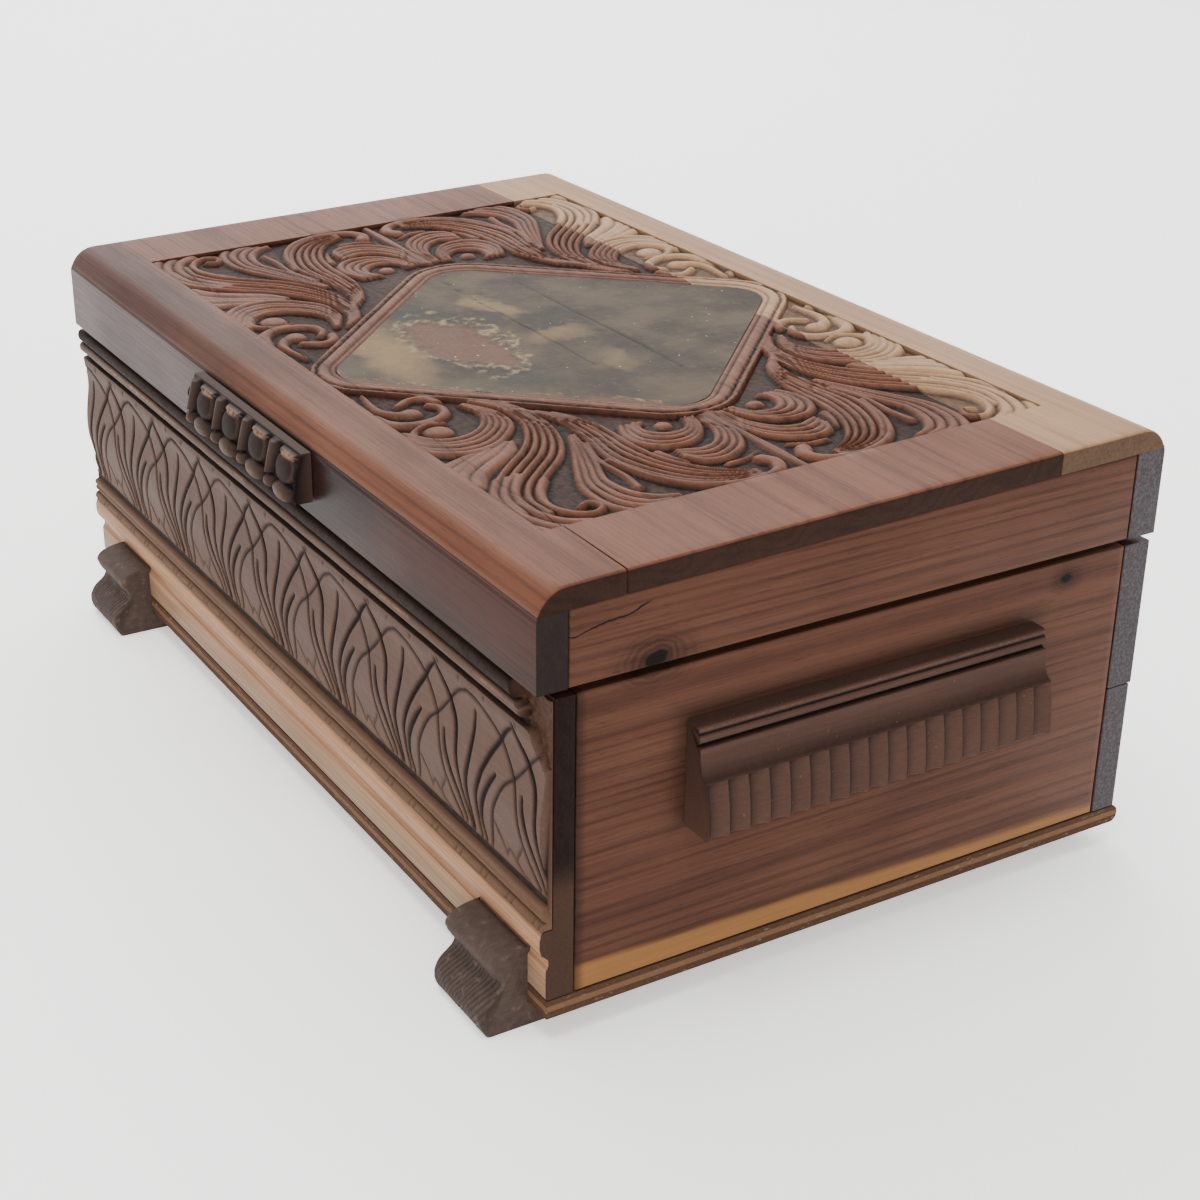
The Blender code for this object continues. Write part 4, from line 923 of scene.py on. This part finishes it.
cuts = softened(cuts, 2)
strip_x = steps_between(-HALF_LENGTH, HALF_LENGTH, 0.36)
strip_drop = np.concatenate((steps_between(0.0, 8.1, 0.38), steps_between(8.4, 44.2, 0.5),
                             steps_between(44.45, STRIP_HEIGHT - 0.02, 0.36)))
x, drop = np.meshgrid(strip_x, strip_drop, indexing="ij")
cut_depth = looked_up(cuts, STRIP_STEP, x + HALF_LENGTH, drop)
blunt = 0.75 + 0.25 * mottle(x, drop, 16.0, 31)
wear = 0.05 * mottle(x, drop, 3.0, 32) + 0.05 * mottle(x, drop, 9.0, 33)
face = strip_section(drop) + 0.8 * cut_depth * blunt + wear
chip_line = np.interp(HALF_LENGTH - x, [0, 1.4, 3.9, 4.8, 8.1, 9.2, 12.3, CHIP_LENGTH],
                      [CHIP_HEIGHT, 14.4, 10.9, 9.6, 5.3, 4.6, -0.4, -1.2]) + 0.9 * mottle(x, drop, 1.6, 34)
broken = np.clip((chip_line - drop) * 2.5, 0, 1) * (HALF_LENGTH - x < CHIP_LENGTH)
rough = 3.3 + 0.55 * mottle(x, drop * 0.3, 1.1, 35) + 0.35 * mottle(x, drop, 0.8, 36)
face = face + (np.clip(rough, 2.2, 4.3) - face) * broken
front = STRIP_FACE + np.clip(face, 0.0, STRIP_BACK - STRIP_FACE - 0.15)
strip_points = np.stack((x, front, STRIP_TOP - drop), -1)
strip_rear = strip_points[:, [-1, 0]].copy()
strip_rear[:, :, 1] = STRIP_BACK
# Painted shade by depth below the top: a dark band under the lid's overhang and in the grooves; the pressed
# cuts get painted shade too, and a rubbed edge is lighter.
GROOVE_SHADE = [(0, 0.75), (3.0, 0.85), (3.6, 0.9), (4.2, 0.1), (6.2, 0.1), (6.8, 0.9), (8.0, 0.9),
                (8.6, 0.2), (10.4, 0.1), (10.6, 0.6), (10.8, 0.0), (43.9, 0.0), (44.5, 0.85),
                (46.0, 0.85), (46.4, 0.1), (53.6, 0.1), (54, 0.7)]
groove = np.interp(drop, *zip(*GROOVE_SHADE))
rubbed_lengths = np.clip(mottle(x, drop * 0 + 1.0, 9.0, 37) * 2, 0, 1)
edge_rub = 0.5 * np.clip(1 - np.abs(drop - 4.7) / 0.6, 0, 1) * rubbed_lengths
strip_shading_and_wear = np.clip(np.maximum(cut_depth * 1.4, groove) - edge_rub * 2, -1, 1) * (1 - broken)
strip = lofted("front_carved_strip_pressed", np.concatenate((strip_points, strip_rear), 1), strip_shading_and_wear)
chipped = np.concatenate((broken, np.zeros((len(strip_x), 2))), 1).ravel()
strip.data.attributes.new("broken", "FLOAT", "POINT").data.foreach_set("value", chipped)


def stained_moulding(name, grain, wood_tone, dark_tone, low_tone=None, sheen=0.03):
    """Pressed soft wood under a worn coat of colour, with painted shade in its cuts and grooves, painted
    highlights and rubbed wear on ridges; the strip is browner towards its foot.
    """
    material, shader, tone = finish(name, coat=sheen, coat_roughness=0.35)
    thin = {"X": (0.03, 1.0, 1.0), "Y": (1.0, 0.03, 1.0)}[grain]
    fibre = tone.noise(tone.place(tuple(share * 1.6 for share in thin)), 1.0, 4.0, 0.65)
    cloud = tone.noise(tone.place((0.035, 0.035, 0.035)), 1.0, 3.0)
    blotches = tone.noise(tone.place((0.7, 0.7, 0.7)), 1.0, 4.0)
    paler = tuple(channel * 1.55 for channel in wood_tone)
    colour = (fibre * 0.7 + cloud * 0.5 - 0.1).clamped().tint(
        tuple(channel * 0.72 for channel in wood_tone), paler)
    if low_tone:
        low = 1.0 - tone.axis("Z").between(STRIP_TOP - 49.0, STRIP_TOP - 38.0)
        colour = (low * 0.85).tint(colour, fibre.tint(tuple(0.7 * c for c in low_tone), low_tone))
    shading_and_wear = tone.mark("shading_and_wear")
    # Painted shade in the cuts and grooves, with real dirt spots mixed in below.
    in_cuts = shading_and_wear.math("MAXIMUM", 0.0) * (blotches * 0.5 + 0.8)
    shade_and_dirt = (in_cuts + blotches.between(0.62, 0.75) * 0.2).clamped()
    colour = shade_and_dirt.tint(colour, dark_tone)
    # Lighter where the mark is below zero: rubbed wear on the strip, and painted highlights on the handles'
    # ridges and the pull's raised parts.
    rubbed_and_highlit = (0.0 - shading_and_wear).clamped() * blotches.between(0.35, 0.6)
    colour = rubbed_and_highlit.tint(colour, (0.26, 0.14, 0.08))
    colour = tone.mark("broken").tint(colour, blotches.tint((0.022, 0.011, 0.008), (0.085, 0.042, 0.025)))
    fresh = blotches.between(0.68, 0.72) * 0.25
    colour = fresh.tint(colour, (0.20, 0.13, 0.09))
    feed(shader, Base_Color=colour, Roughness=0.46 + shade_and_dirt * 0.25 + (cloud - 0.5) * 0.2,
         Normal=tone.relief(fibre + blotches * 0.5, 0.4, 0.0003))
    return material


SHADE_AND_DIRT_DARK = (0.009, 0.006, 0.0055)
strip_finish = stained_moulding("stained_moulding_strip", "X", (0.072, 0.041, 0.030), SHADE_AND_DIRT_DARK,
                                (0.135, 0.070, 0.040))
strip.data.materials.append(strip_finish)
stands_for(strip, "case", "stained_moulding", "front_carved_strip")

# Handles and pull: short lengths of fluted and lobed moulding, stained brown and glued on.
# Each is the same few millimetres of pattern over and over, cut off square at its ends.
def joined_tree(name, inputs, kinds, links):
    """A Geometry Nodes tree: its named inputs, the kinds of its nodes and the sockets to join."""
    tree = bpy.data.node_groups.new(name, "GeometryNodeTree")
    tree.interface.new_socket("Row", in_out="OUTPUT", socket_type="NodeSocketGeometry")
    for label, kind in inputs.items():
        tree.interface.new_socket(label, in_out="INPUT", socket_type="NodeSocket" + kind)
    made = {label: tree.nodes.new(kind) for label, kind in kinds.items()}
    made["entry"] = tree.nodes.new("NodeGroupInput")
    made["result"] = tree.nodes.new("NodeGroupOutput")
    for source, leaving, target, arriving in links:
        tree.links.new(made[source].outputs[leaving], made[target].inputs[arriving])
    return tree, made


def row_tree(name):
    """Copies of one piece of pattern set out in a row and welded together."""
    inputs = {"Pattern": "Object", "Count": "Int", "Start": "Vector", "Pitch": "Vector", "Weld": "Float",
              "Finish": "Material"}
    kinds = {"line": "GeometryNodeMeshLine", "pattern": "GeometryNodeObjectInfo",
             "copies": "GeometryNodeInstanceOnPoints", "real": "GeometryNodeRealizeInstances",
             "weld": "GeometryNodeMergeByDistance", "paint": "GeometryNodeSetMaterial"}
    return joined_tree(name, inputs, kinds, (
        ("entry", "Count", "line", "Count"), ("entry", "Start", "line", "Start Location"),
        ("entry", "Pitch", "line", "Offset"), ("entry", "Pattern", "pattern", "Object"),
        ("line", "Mesh", "copies", "Points"), ("pattern", "Geometry", "copies", "Instance"),
        ("copies", "Instances", "real", "Geometry"), ("real", "Geometry", "weld", "Geometry"),
        ("entry", "Weld", "weld", "Distance"), ("weld", "Geometry", "paint", "Geometry"),
        ("entry", "Finish", "paint", "Material"), ("paint", "Geometry", "result", "Row")))[0]


def grown(name, tree, start_mesh, settings):
    """The plain mesh that a Geometry Nodes tree makes from its named inputs, with its ends closed."""
    host = bpy.data.objects.new(name + "_host", start_mesh)
    bpy.context.scene.collection.objects.link(host)
    modifier = host.modifiers.new(tree.name, "NODES")
    modifier.node_group = tree
    for socket in tree.interface.items_tree:
        if socket.item_type == "SOCKET" and socket.in_out == "INPUT" and socket.name in settings:
            modifier[socket.identifier] = settings[socket.name]
    evaluated = host.evaluated_get(bpy.context.evaluated_depsgraph_get())
    mesh = bpy.data.meshes.new_from_object(evaluated)
    mesh.name = name
    host.modifiers.remove(modifier)
    bpy.data.objects.remove(host)
    shape = bmesh.new()
    shape.from_mesh(mesh)
    shape.faces.ensure_lookup_table()
    painted = shape.faces[0].material_index
    rims = [edge for edge in shape.edges if len(edge.link_faces) == 1]
    if rims:
        bmesh.ops.edgeloop_fill(shape, edges=rims)
    for face in shape.faces:
        face.material_index = painted
    bmesh.ops.recalc_face_normals(shape, faces=shape.faces)
    shape.to_mesh(mesh)
    shape.free()
    mesh.shade_smooth()
    mesh.set_sharp_from_angle(angle=math.radians(34))
    item = bpy.data.objects.new(name, mesh)
    bpy.context.scene.collection.objects.link(item)
    return item


def pattern_piece(name, rings, shading_and_wear):
    """One pitch of a moulding: an open tube of rings, in metres, kept out of the scene."""
    slices, size = rings.shape[:2]
    faces = []
    for here in range(slices - 1):
        for step in range(size):
            near = here * size
            after = (step + 1) % size
            faces.append((near + step, near + size + step, near + size + after, near + after))
    mesh = bpy.data.meshes.new(name)
    mesh.from_pydata((rings.reshape(-1, 3) / 1000).tolist(), [], faces)
    mesh.attributes.new("shading_and_wear", "FLOAT", "POINT").data.foreach_set("value", shading_and_wear.ravel())
    return bpy.data.objects.new(name, mesh)


row_of_pattern = row_tree("row_of_pattern")
WELD = 0.00001                          # metres between points that become one
FLUTE_COUNT = 18
FLUTE_DEPTH = 1.1
FLUTE_TOP = 11.64
handle_low, handle_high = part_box("handle_right")
HANDLE_REACH = (handle_high.x - handle_low.x) * 1000 + 0.3
HANDLE_HEIGHT = (handle_high.z - handle_low.z) * 1000
flute_pitch = (handle_high.y - handle_low.y) * 1000 / FLUTE_COUNT
handle_knots = [(0.3, 0.0), (3.7, 0.0), (4.3, 0.15), (4.7, 0.6), (4.75, 1.1), (4.45, 1.45), (4.45, 1.7),
                (4.85, 1.9), (5.05, 2.5), (5.0, 3.3), (4.6, 3.75), (4.1, 3.95), (4.1, 4.35), (4.7, 4.55),
                (5.35, 4.7), (5.5, 5.2)]
for step in range(1, 11):
    turn = math.pi / 2 * step / 10
    handle_knots.append((5.5 + 2.2 * (1 - math.cos(turn)), 5.3 + (FLUTE_TOP - 5.8) * math.sin(turn)))
handle_knots += [(8.0, FLUTE_TOP - 0.2), (8.1, FLUTE_TOP - 0.01), (8.12, FLUTE_TOP + 0.05)]
for step in range(1, 9):
    share = step / 8
    handle_knots.append((8.12 + (HANDLE_REACH - 8.4) * math.sin(share * math.pi / 2),
                         FLUTE_TOP + 0.05 + share * (HANDLE_HEIGHT - FLUTE_TOP - 1.0)))
handle_knots += [(HANDLE_REACH - 0.4, HANDLE_HEIGHT - 0.45), (HANDLE_REACH - 0.9, HANDLE_HEIGHT - 0.05),
                 (HANDLE_REACH - 1.6, HANDLE_HEIGHT), (0.3, HANDLE_HEIGHT)]
handle_profile = np.array(handle_knots)
across = np.concatenate(([-0.5, -0.46, -0.42, -0.34], np.linspace(-0.22, 0.38, 6), [0.46, 0.5]))
FLUTE_HOLLOW = [(-0.5, 0.0), (-0.42, 0.9), (-0.2, 1.0), (0.1, 0.8), (0.4, 0.4), (0.5, 0.0)]
hollowed = FLUTE_DEPTH * np.interp(across, *zip(*FLUTE_HOLLOW))
out = np.tile(handle_profile[:, 0], (len(across), 1))
fluted = (handle_profile[:, 1] > FLUTE_TOP + 0.02) & (handle_profile[:, 0] > 1)
out = out - hollowed[:, None] * fluted[None, :]
# Painted shade in the handle's grooves and painted highlights on its beads, by depth below the top; across
# each flute, a painted shadow just past the ridge, painted highlights on the ridges and a painted shadow
# notch at the flute's top.
HANDLE_SHADING = [(0, 0.5), (0.7, -0.3), (1.1, 0.1), (1.5, 0.9), (1.8, 0.8), (2.0, 0.0), (3.5, 0.1),
                (3.9, 0.9), (4.4, 1.0), (4.8, -0.2), (5.4, 0.1), (8, 0.2), (11.4, 0.6), (11.9, 0.0)]
FLUTE_SHADING = [(-0.5, -0.6), (-0.46, 0.5), (-0.42, 0.95), (-0.25, 0.4), (0.0, 0.1), (0.38, 0.0),
               (0.46, -0.5), (0.5, -0.6)]
flute_shading = np.tile(np.interp(handle_profile[:, 1], *zip(*HANDLE_SHADING)), (len(across), 1))
shaded = np.interp(across, *zip(*FLUTE_SHADING))[:, None]
notch = np.clip((FLUTE_TOP + 2.2 - handle_profile[None, :, 1]) / 1.6 - 1.8 * (across[:, None] + 0.5), 0, 1)
flute_shading = np.where(fluted[None, :], np.maximum(shaded, notch), flute_shading)
handle_finish = stained_moulding("stained_moulding_handles", "Y", (0.056, 0.029, 0.021), SHADE_AND_DIRT_DARK,
                                 sheen=0.05)
for side, end in ((-1, "left"), (1, "right")):
    rings = np.stack((side * (HALF_LENGTH + out), np.tile(across[:, None] * flute_pitch, (1, out.shape[1])),
                      handle_high.z * 1000 - np.tile(handle_profile[:, 1], (len(across), 1))), -1)
    flute = pattern_piece("flute_" + end, rings, flute_shading)
    start = (0.0, handle_low.y + flute_pitch / 2000, 0.0)
    handle = grown("handle_%s_fluted" % end, row_of_pattern, bpy.data.meshes.new("handle_points"),
                   {"Pattern": flute, "Count": FLUTE_COUNT, "Start": start,
                    "Pitch": (0.0, flute_pitch / 1000, 0.0), "Weld": WELD, "Finish": handle_finish})
    bpy.data.objects.remove(flute)
    stands_for(handle, "case", "stained_moulding", "handle_" + end)

LOBES = 4
LOBE_SHIFT = 0.2                        # the row is cut off just past its last lobe
pull_low, pull_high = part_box("lid_pull")
lobe_pitch = (pull_high.x - pull_low.x) * 1000 / LOBES
PULL_HEIGHT = (pull_high.z - pull_low.z) * 1000
PULL_REACH = (pull_high.y - pull_low.y) * 1000
PULL_BACK = (pull_high.y - LID_MIDDLE) * 1000
lobe_across = np.linspace(-0.5, 0.5, 31)
pull_drop = np.concatenate((np.linspace(0.0, 0.5, 3), np.linspace(0.8, 7.6, 15), np.linspace(7.8, 8.3, 3),
                            np.linspace(8.5, PULL_HEIGHT, 11)))
lobe_place, drop = np.meshgrid(lobe_across, pull_drop, indexing="ij")
u = (lobe_place + 0.5 - LOBE_SHIFT) % 1.0 - 0.5
gap = np.abs(np.abs(u) - 0.5)
cove = 2.3 + 2.1 * np.clip(drop / 8, 0, 1)
egg_share = np.hypot(u / 0.33, (drop - 4.4) / 3.7)
egg = 2.0 * rounded(np.clip(egg_share, 0, 1)) ** 0.8
lip_band = np.clip((drop - 0.5) * 3, 0, 1) * np.clip((2.0 - drop) * 2.5, 0, 1)
lip = 1.5 * np.clip((0.27 - np.abs(u)) * 14, 0, 1) * lip_band
dart_width = 0.125 - 0.05 * np.clip(drop / 7.6, 0, 1)
dart = 1.9 * rounded(np.clip(gap / dart_width, 0, 1)) * np.clip((drop - 0.35) * 2, 0, 1)
upper = cove + np.maximum(np.maximum(egg, lip), dart)
pearl = rounded(np.clip(np.hypot(u / 0.31, (drop - 10.1) / 2.3), 0, 1))
small_pearl = rounded(np.clip(np.hypot(gap / 0.13, (drop - 10.1) / 1.7), 0, 1))
lower = 4.3 + 2.6 * np.maximum(pearl ** 0.8, 0.85 * small_pearl)
out = np.minimum(np.where(drop < 8.0, upper, lower), PULL_REACH)
# Painted shade in the pull's hollows, less on the darts and eggs, and painted highlights on the lip, egg
# rims and pearls.
egg_rim = np.clip(1 - np.abs(egg_share - 0.86) / 0.1, 0, 1)
pull_shading = 1.0 - 0.5 * dart - 0.15 * egg - 1.4 * (lip > 0.7) - 0.7 * egg_rim
pull_shading = np.where(drop < 8.0, pull_shading, 0.95 - 1.15 * np.maximum(pearl, small_pearl))
pull_shading = np.clip(np.where(drop < 0.4, 0.35, pull_shading), -0.8, 1)
rings = np.stack((lobe_place * lobe_pitch, PULL_BACK - out, pull_high.z * 1000 - drop), -1)
closing = rings[:, [-1, 0]].copy()
closing[:, :, 1] = PULL_BACK
rings = np.concatenate((rings, closing), 1)
rings[:, :, 1] += LID_MIDDLE * 1000
lobe_piece = pattern_piece("lobe", rings, np.concatenate((pull_shading, np.zeros((len(lobe_across), 2))), 1))
pull_finish = stained_moulding("stained_moulding_pull", "X", (0.045, 0.027, 0.020), SHADE_AND_DIRT_DARK, sheen=0.05)
pull = grown("lid_pull_lobed", row_of_pattern, bpy.data.meshes.new("pull_points"),
             {"Pattern": lobe_piece, "Count": LOBES, "Start": (pull_low.x + lobe_pitch / 2000, 0.0, 0.0),
              "Pitch": (lobe_pitch / 1000, 0.0, 0.0), "Weld": WELD, "Finish": pull_finish})
bpy.data.objects.remove(lobe_piece)
stands_for(pull, "lid", "stained_moulding", "lid_pull")

# Feet: slices of a dark carved moulding hooked under the front of the case, with fine curved
# gouge cuts across their swelling fronts and sawn ends; the back pair are plain blocks.
def foot_finish(name, cut_share):
    material, shader, tone = finish(name, coat=0.02, coat_roughness=0.4)
    blotches = tone.noise(tone.place((0.5, 0.5, 0.5)), 1.0, 4.0)
    saw = tone.noise(tone.place((2.0, 0.25, 0.9)), 1.0, 3.0)
    colour = (blotches * 0.6 + saw * 0.4).tint((0.020, 0.0145, 0.013), (0.105, 0.072, 0.058))
    # Painted shade in the gouge cuts, read from the mesh's shading mark.
    colour = (tone.mark("shading_and_wear") * cut_share * 0.7).tint(colour, (0.008, 0.0065, 0.006))
    worn = blotches.between(0.6, 0.72) * 0.4
    colour = worn.tint(colour, (0.16, 0.10, 0.072))
    feed(shader, Base_Color=colour, Roughness=0.5 + (blotches - 0.5) * 0.3,
         Normal=tone.relief(blotches + saw, 0.5, 0.0004))
    return material


FOOT_FRONT = [(8.2, 0.25), (5.2, 1.1), (3.3, 2.7), (3.3, 4.8), (5.0, 6.9), (4.6, 9.2), (2.0, 11.4),
              (0.3, 13.8), (0.35, 16.6)]  # behind the toe, and below the top
FOOT_POINTS = 78
carved_foot = foot_finish("dark_moulding_carved", 0.85)
plain_foot = foot_finish("dark_moulding_plain", 0.0)
for end in ("left", "right"):
    foot_low, foot_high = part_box("foot_front_" + end)
    width = (foot_high.x - foot_low.x) * 1000
    height = foot_high.z * 1000
    toe = (foot_low.y - LID_MIDDLE) * 1000
    tail = (foot_high.y - LID_MIDDLE) * 1000
    board_face = (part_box("front_board")[0].y - LID_MIDDLE) * 1000 + 1.4
    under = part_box("bottom_board")[0].z * 1000 - 0.3
    swell = [(toe + reach, height - drop) for reach, drop in FOOT_FRONT]
    outline = [(board_face, height)] + swell + [(toe + 1.0, 1.2), (toe + 1.8, 0.0)]
    silhouette = smooth_path(outline, FOOT_POINTS)
    silhouette[:, 0] = np.maximum(silhouette[:, 0], toe)
    silhouette[:, 1] = np.clip(silhouette[:, 1], 0, height)
    slices = steps_between(0, width, 0.22)
    x, step = np.meshgrid(slices, np.arange(FOOT_POINTS), indexing="ij")
    y = silhouette[step, 0]
    z = silhouette[step, 1]
    sweep = x + 0.035 * (14.5 - z) ** 2 + 0.7 * mottle(x, z, 5.0, 43)
    cut = np.abs(((sweep / 1.3) % 1.0) * 2 - 1) ** 2.2
    carved_band = np.clip((13.6 - z) / 1.6, 0, 1) * np.clip(z / 1.5, 0, 1)
    nick = np.clip((0.5 - np.abs(z - 15.2)) * 2, 0, 1)
    push = (0.17 + 0.12 * mottle(x, z, 4.0, 42)) * cut * carved_band + 0.3 * nick
    push = push + 0.12 * mottle(x, z, 2.2, 41)
    y = y + push * (z > 0.05) + edge_drop(np.minimum(x, width - x), 0.7)
    rear = [(tail, 0.0), (tail, under), (board_face, under)]
    ring = np.stack((foot_low.x * 1000 + x, y, z), -1)
    closing = np.zeros((len(slices), len(rear), 3))
    closing[:, :, 0] = foot_low.x * 1000 + slices[:, None]
    closing[:, :, 1:] = np.array(rear)[None]
    rings = np.concatenate((ring, closing), 1)
    # The cuts' depth goes into the shading mark as painted shade.
    foot = lofted("foot_front_%s_carved" % end, rings, cut * carved_band, None, 40)
    foot.data.materials.append(carved_foot)
    stands_for(foot, "case", "dark_moulding", "foot_front_" + end)
    fit_board("foot_back_" + end, "case", plain_foot, "dark_moulding", 0.6)

# Hinges, pins, screws and brads: thin stamped brass butts let into the seam, each leaf held by
# two slotted screws, and steel brads driven up through the bottom board.
def metal(name, bright, dull, metallic=1.0):
    material, shader, tone = finish(name, metallic=metallic, specular=0.5)
    patina = tone.noise(tone.place((0.5, 0.5, 0.5)), 1.0, 4.0)
    spots = patina.between(0.5, 0.72)
    feed(shader, Base_Color=spots.tint(bright, dull), Roughness=spots * 0.3 + 0.28,
         Normal=tone.relief(patina, 0.25, 0.0002))
    return material


brass = metal("brass", (0.60, 0.42, 0.17), (0.22, 0.14, 0.07))
steel = metal("steel", (0.42, 0.40, 0.38), (0.16, 0.11, 0.08))
for end in ("left", "right"):
    for node in ("hinge_leaf_case_" + end, "hinge_leaf_lid_" + end, "hinge_pin_" + end):
        nodes[node].data.materials[0] = brass


def scatter_tree(name):
    """One fastener at each point, turned at random about its axis."""
    inputs = {"Points": "Geometry", "Fastener": "Object", "Turn": "Vector", "Seed": "Int",
              "Finish": "Material"}
    kinds = {"fastener": "GeometryNodeObjectInfo", "turn": "FunctionNodeRandomValue",
             "copies": "GeometryNodeInstanceOnPoints", "real": "GeometryNodeRealizeInstances",
             "paint": "GeometryNodeSetMaterial"}
    tree, made = joined_tree(name, inputs, kinds, (
        ("entry", "Points", "copies", "Points"), ("entry", "Fastener", "fastener", "Object"),
        ("fastener", "Geometry", "copies", "Instance"), ("copies", "Instances", "real", "Geometry"),
        ("real", "Geometry", "paint", "Geometry"), ("entry", "Finish", "paint", "Material"),
        ("paint", "Geometry", "result", "Row")))
    turn = made["turn"]
    turn.data_type = "FLOAT_VECTOR"
    turn.inputs["Min"].default_value = (0.0, 0.0, 0.0)
    tree.links.new(made["entry"].outputs["Turn"], turn.inputs["Max"])
    tree.links.new(made["entry"].outputs["Seed"], turn.inputs["Seed"])
    tree.links.new(turn.outputs["Value"], made["copies"].inputs["Rotation"])
    return tree


def turned_fastener(name, profile, slot_width, up):
    """A headed pin from (radius, height) steps in millimetres, with a slot cut across its face."""
    shape = bmesh.new()
    sides = 20
    rings = []
    for radius, height in profile:
        ring = []
        for side in range(sides):
            turn = 2 * math.pi * (side + 0.5) / sides
            ring.append(shape.verts.new((radius * math.cos(turn), radius * math.sin(turn), up * height)))
        rings.append(ring)
    for near, far in zip(rings, rings[1:]):
        for side in range(sides):
            after = (side + 1) % sides
            shape.faces.new((near[side], near[after], far[after], far[side]))
    shape.faces.new(rings[-1])
    face = shape.faces.new(rings[0])
    if slot_width:
        for place in (-slot_width / 2, slot_width / 2):
            whole = shape.verts[:] + shape.edges[:] + shape.faces[:]
            bmesh.ops.bisect_plane(shape, geom=[face] if place < 0 else whole, plane_co=(place, 0, 0),
                                   plane_no=(1, 0, 0))
            shape.faces.ensure_lookup_table()
            for item in shape.faces:
                level = all(abs(corner.co.z - up * profile[0][1]) < 1e-6 for corner in item.verts)
                if level and abs(item.calc_center_median().x) < slot_width / 3:
                    face = item
                    break
        sunk = bmesh.ops.extrude_discrete_faces(shape, faces=[face])["faces"]
        bmesh.ops.translate(shape, verts=list({corner for item in sunk for corner in item.verts}),
                            vec=(0, 0, -up * 0.22))
    bmesh.ops.scale(shape, vec=(0.001, 0.001, 0.001), verts=shape.verts)
    bmesh.ops.recalc_face_normals(shape, faces=shape.faces)
    mesh = bpy.data.meshes.new(name)
    shape.to_mesh(mesh)
    shape.free()
    return bpy.data.objects.new(name, mesh)


set_fasteners = scatter_tree("set_fasteners")


def fasteners(name, body, nodes_named, count, face_side, fastener, material, slot, seed):
    """One plain mesh of all the fasteners on a body, in the places of the nodes they stand for."""
    replaced = ["%s_%d" % (nodes_named, number) for number in range(1, count + 1)]
    places = []
    for node in replaced:
        low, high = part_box(node)
        places.append(((low.x + high.x) / 2, (low.y + high.y) / 2, high.z if face_side > 0 else low.z))
    points = bpy.data.meshes.new(name + "_points")
    points.from_pydata(places, [], [])
    settings = {"Fastener": fastener, "Turn": (0.0, 0.0, math.pi), "Seed": seed, "Finish": material}
    item = grown(name, set_fasteners, points, settings)
    stands_for(item, body, slot, *replaced)


SCREW = [(0.82, 0.0), (0.9, -0.06), (0.45, -0.68), (0.45, -5.9)]
BRAD = [(0.75, -0.02), (1.08, -0.14), (1.08, -0.38), (0.5, -0.40), (0.5, -11.9)]
case_screw = turned_fastener("case_screw", SCREW, 0.26, 1)
lid_screw = turned_fastener("lid_screw", SCREW, 0.26, -1)
brad = turned_fastener("brad", BRAD, 0.0, -1)
fasteners("hinge_screws_case", "case", "hinge_screw_case", 4, 1, case_screw, brass, "brass", 5)
fasteners("hinge_screws_lid", "lid", "hinge_screw_lid", 4, -1, lid_screw, brass, "brass", 6)
fasteners("bottom_brads", "case", "bottom_brad", 8, -1, brad, steel, "steel", 7)
for item in (case_screw, lid_screw, brad):
    bpy.data.objects.remove(item)

# Mirror: a plate of silvered glass under the top, a little foxed, held by four cedar beads.
# The long beads run past the ends of the short ones, and each laps the edge of the glass.
mirror, mirror_shader, tone = finish("mirror_glass", metallic=1.0, specular=0.5)
foxing = tone.noise(tone.place((0.08, 0.08, 0.08)), 1.0, 5.0).between(0.66, 0.78)
feed(mirror_shader, Base_Color=foxing.tint((0.84, 0.86, 0.87), (0.30, 0.26, 0.22)),
     Roughness=foxing * 0.35 + 0.03)
nodes["lid_mirror"].data.materials[0] = mirror
bead_cedar = cedar("cedar_mirror_beads", pith=(120.0, 30.0), **red)
side_bead_cedar = cedar("cedar_mirror_side_beads", grain="Y", pith=(120.0, 30.0), **red)
for end in ("front", "back", "left", "right"):
    wood = bead_cedar if end in ("front", "back") else side_bead_cedar
    fit_board("mirror_bead_" + end, "lid", wood, width=0.35)
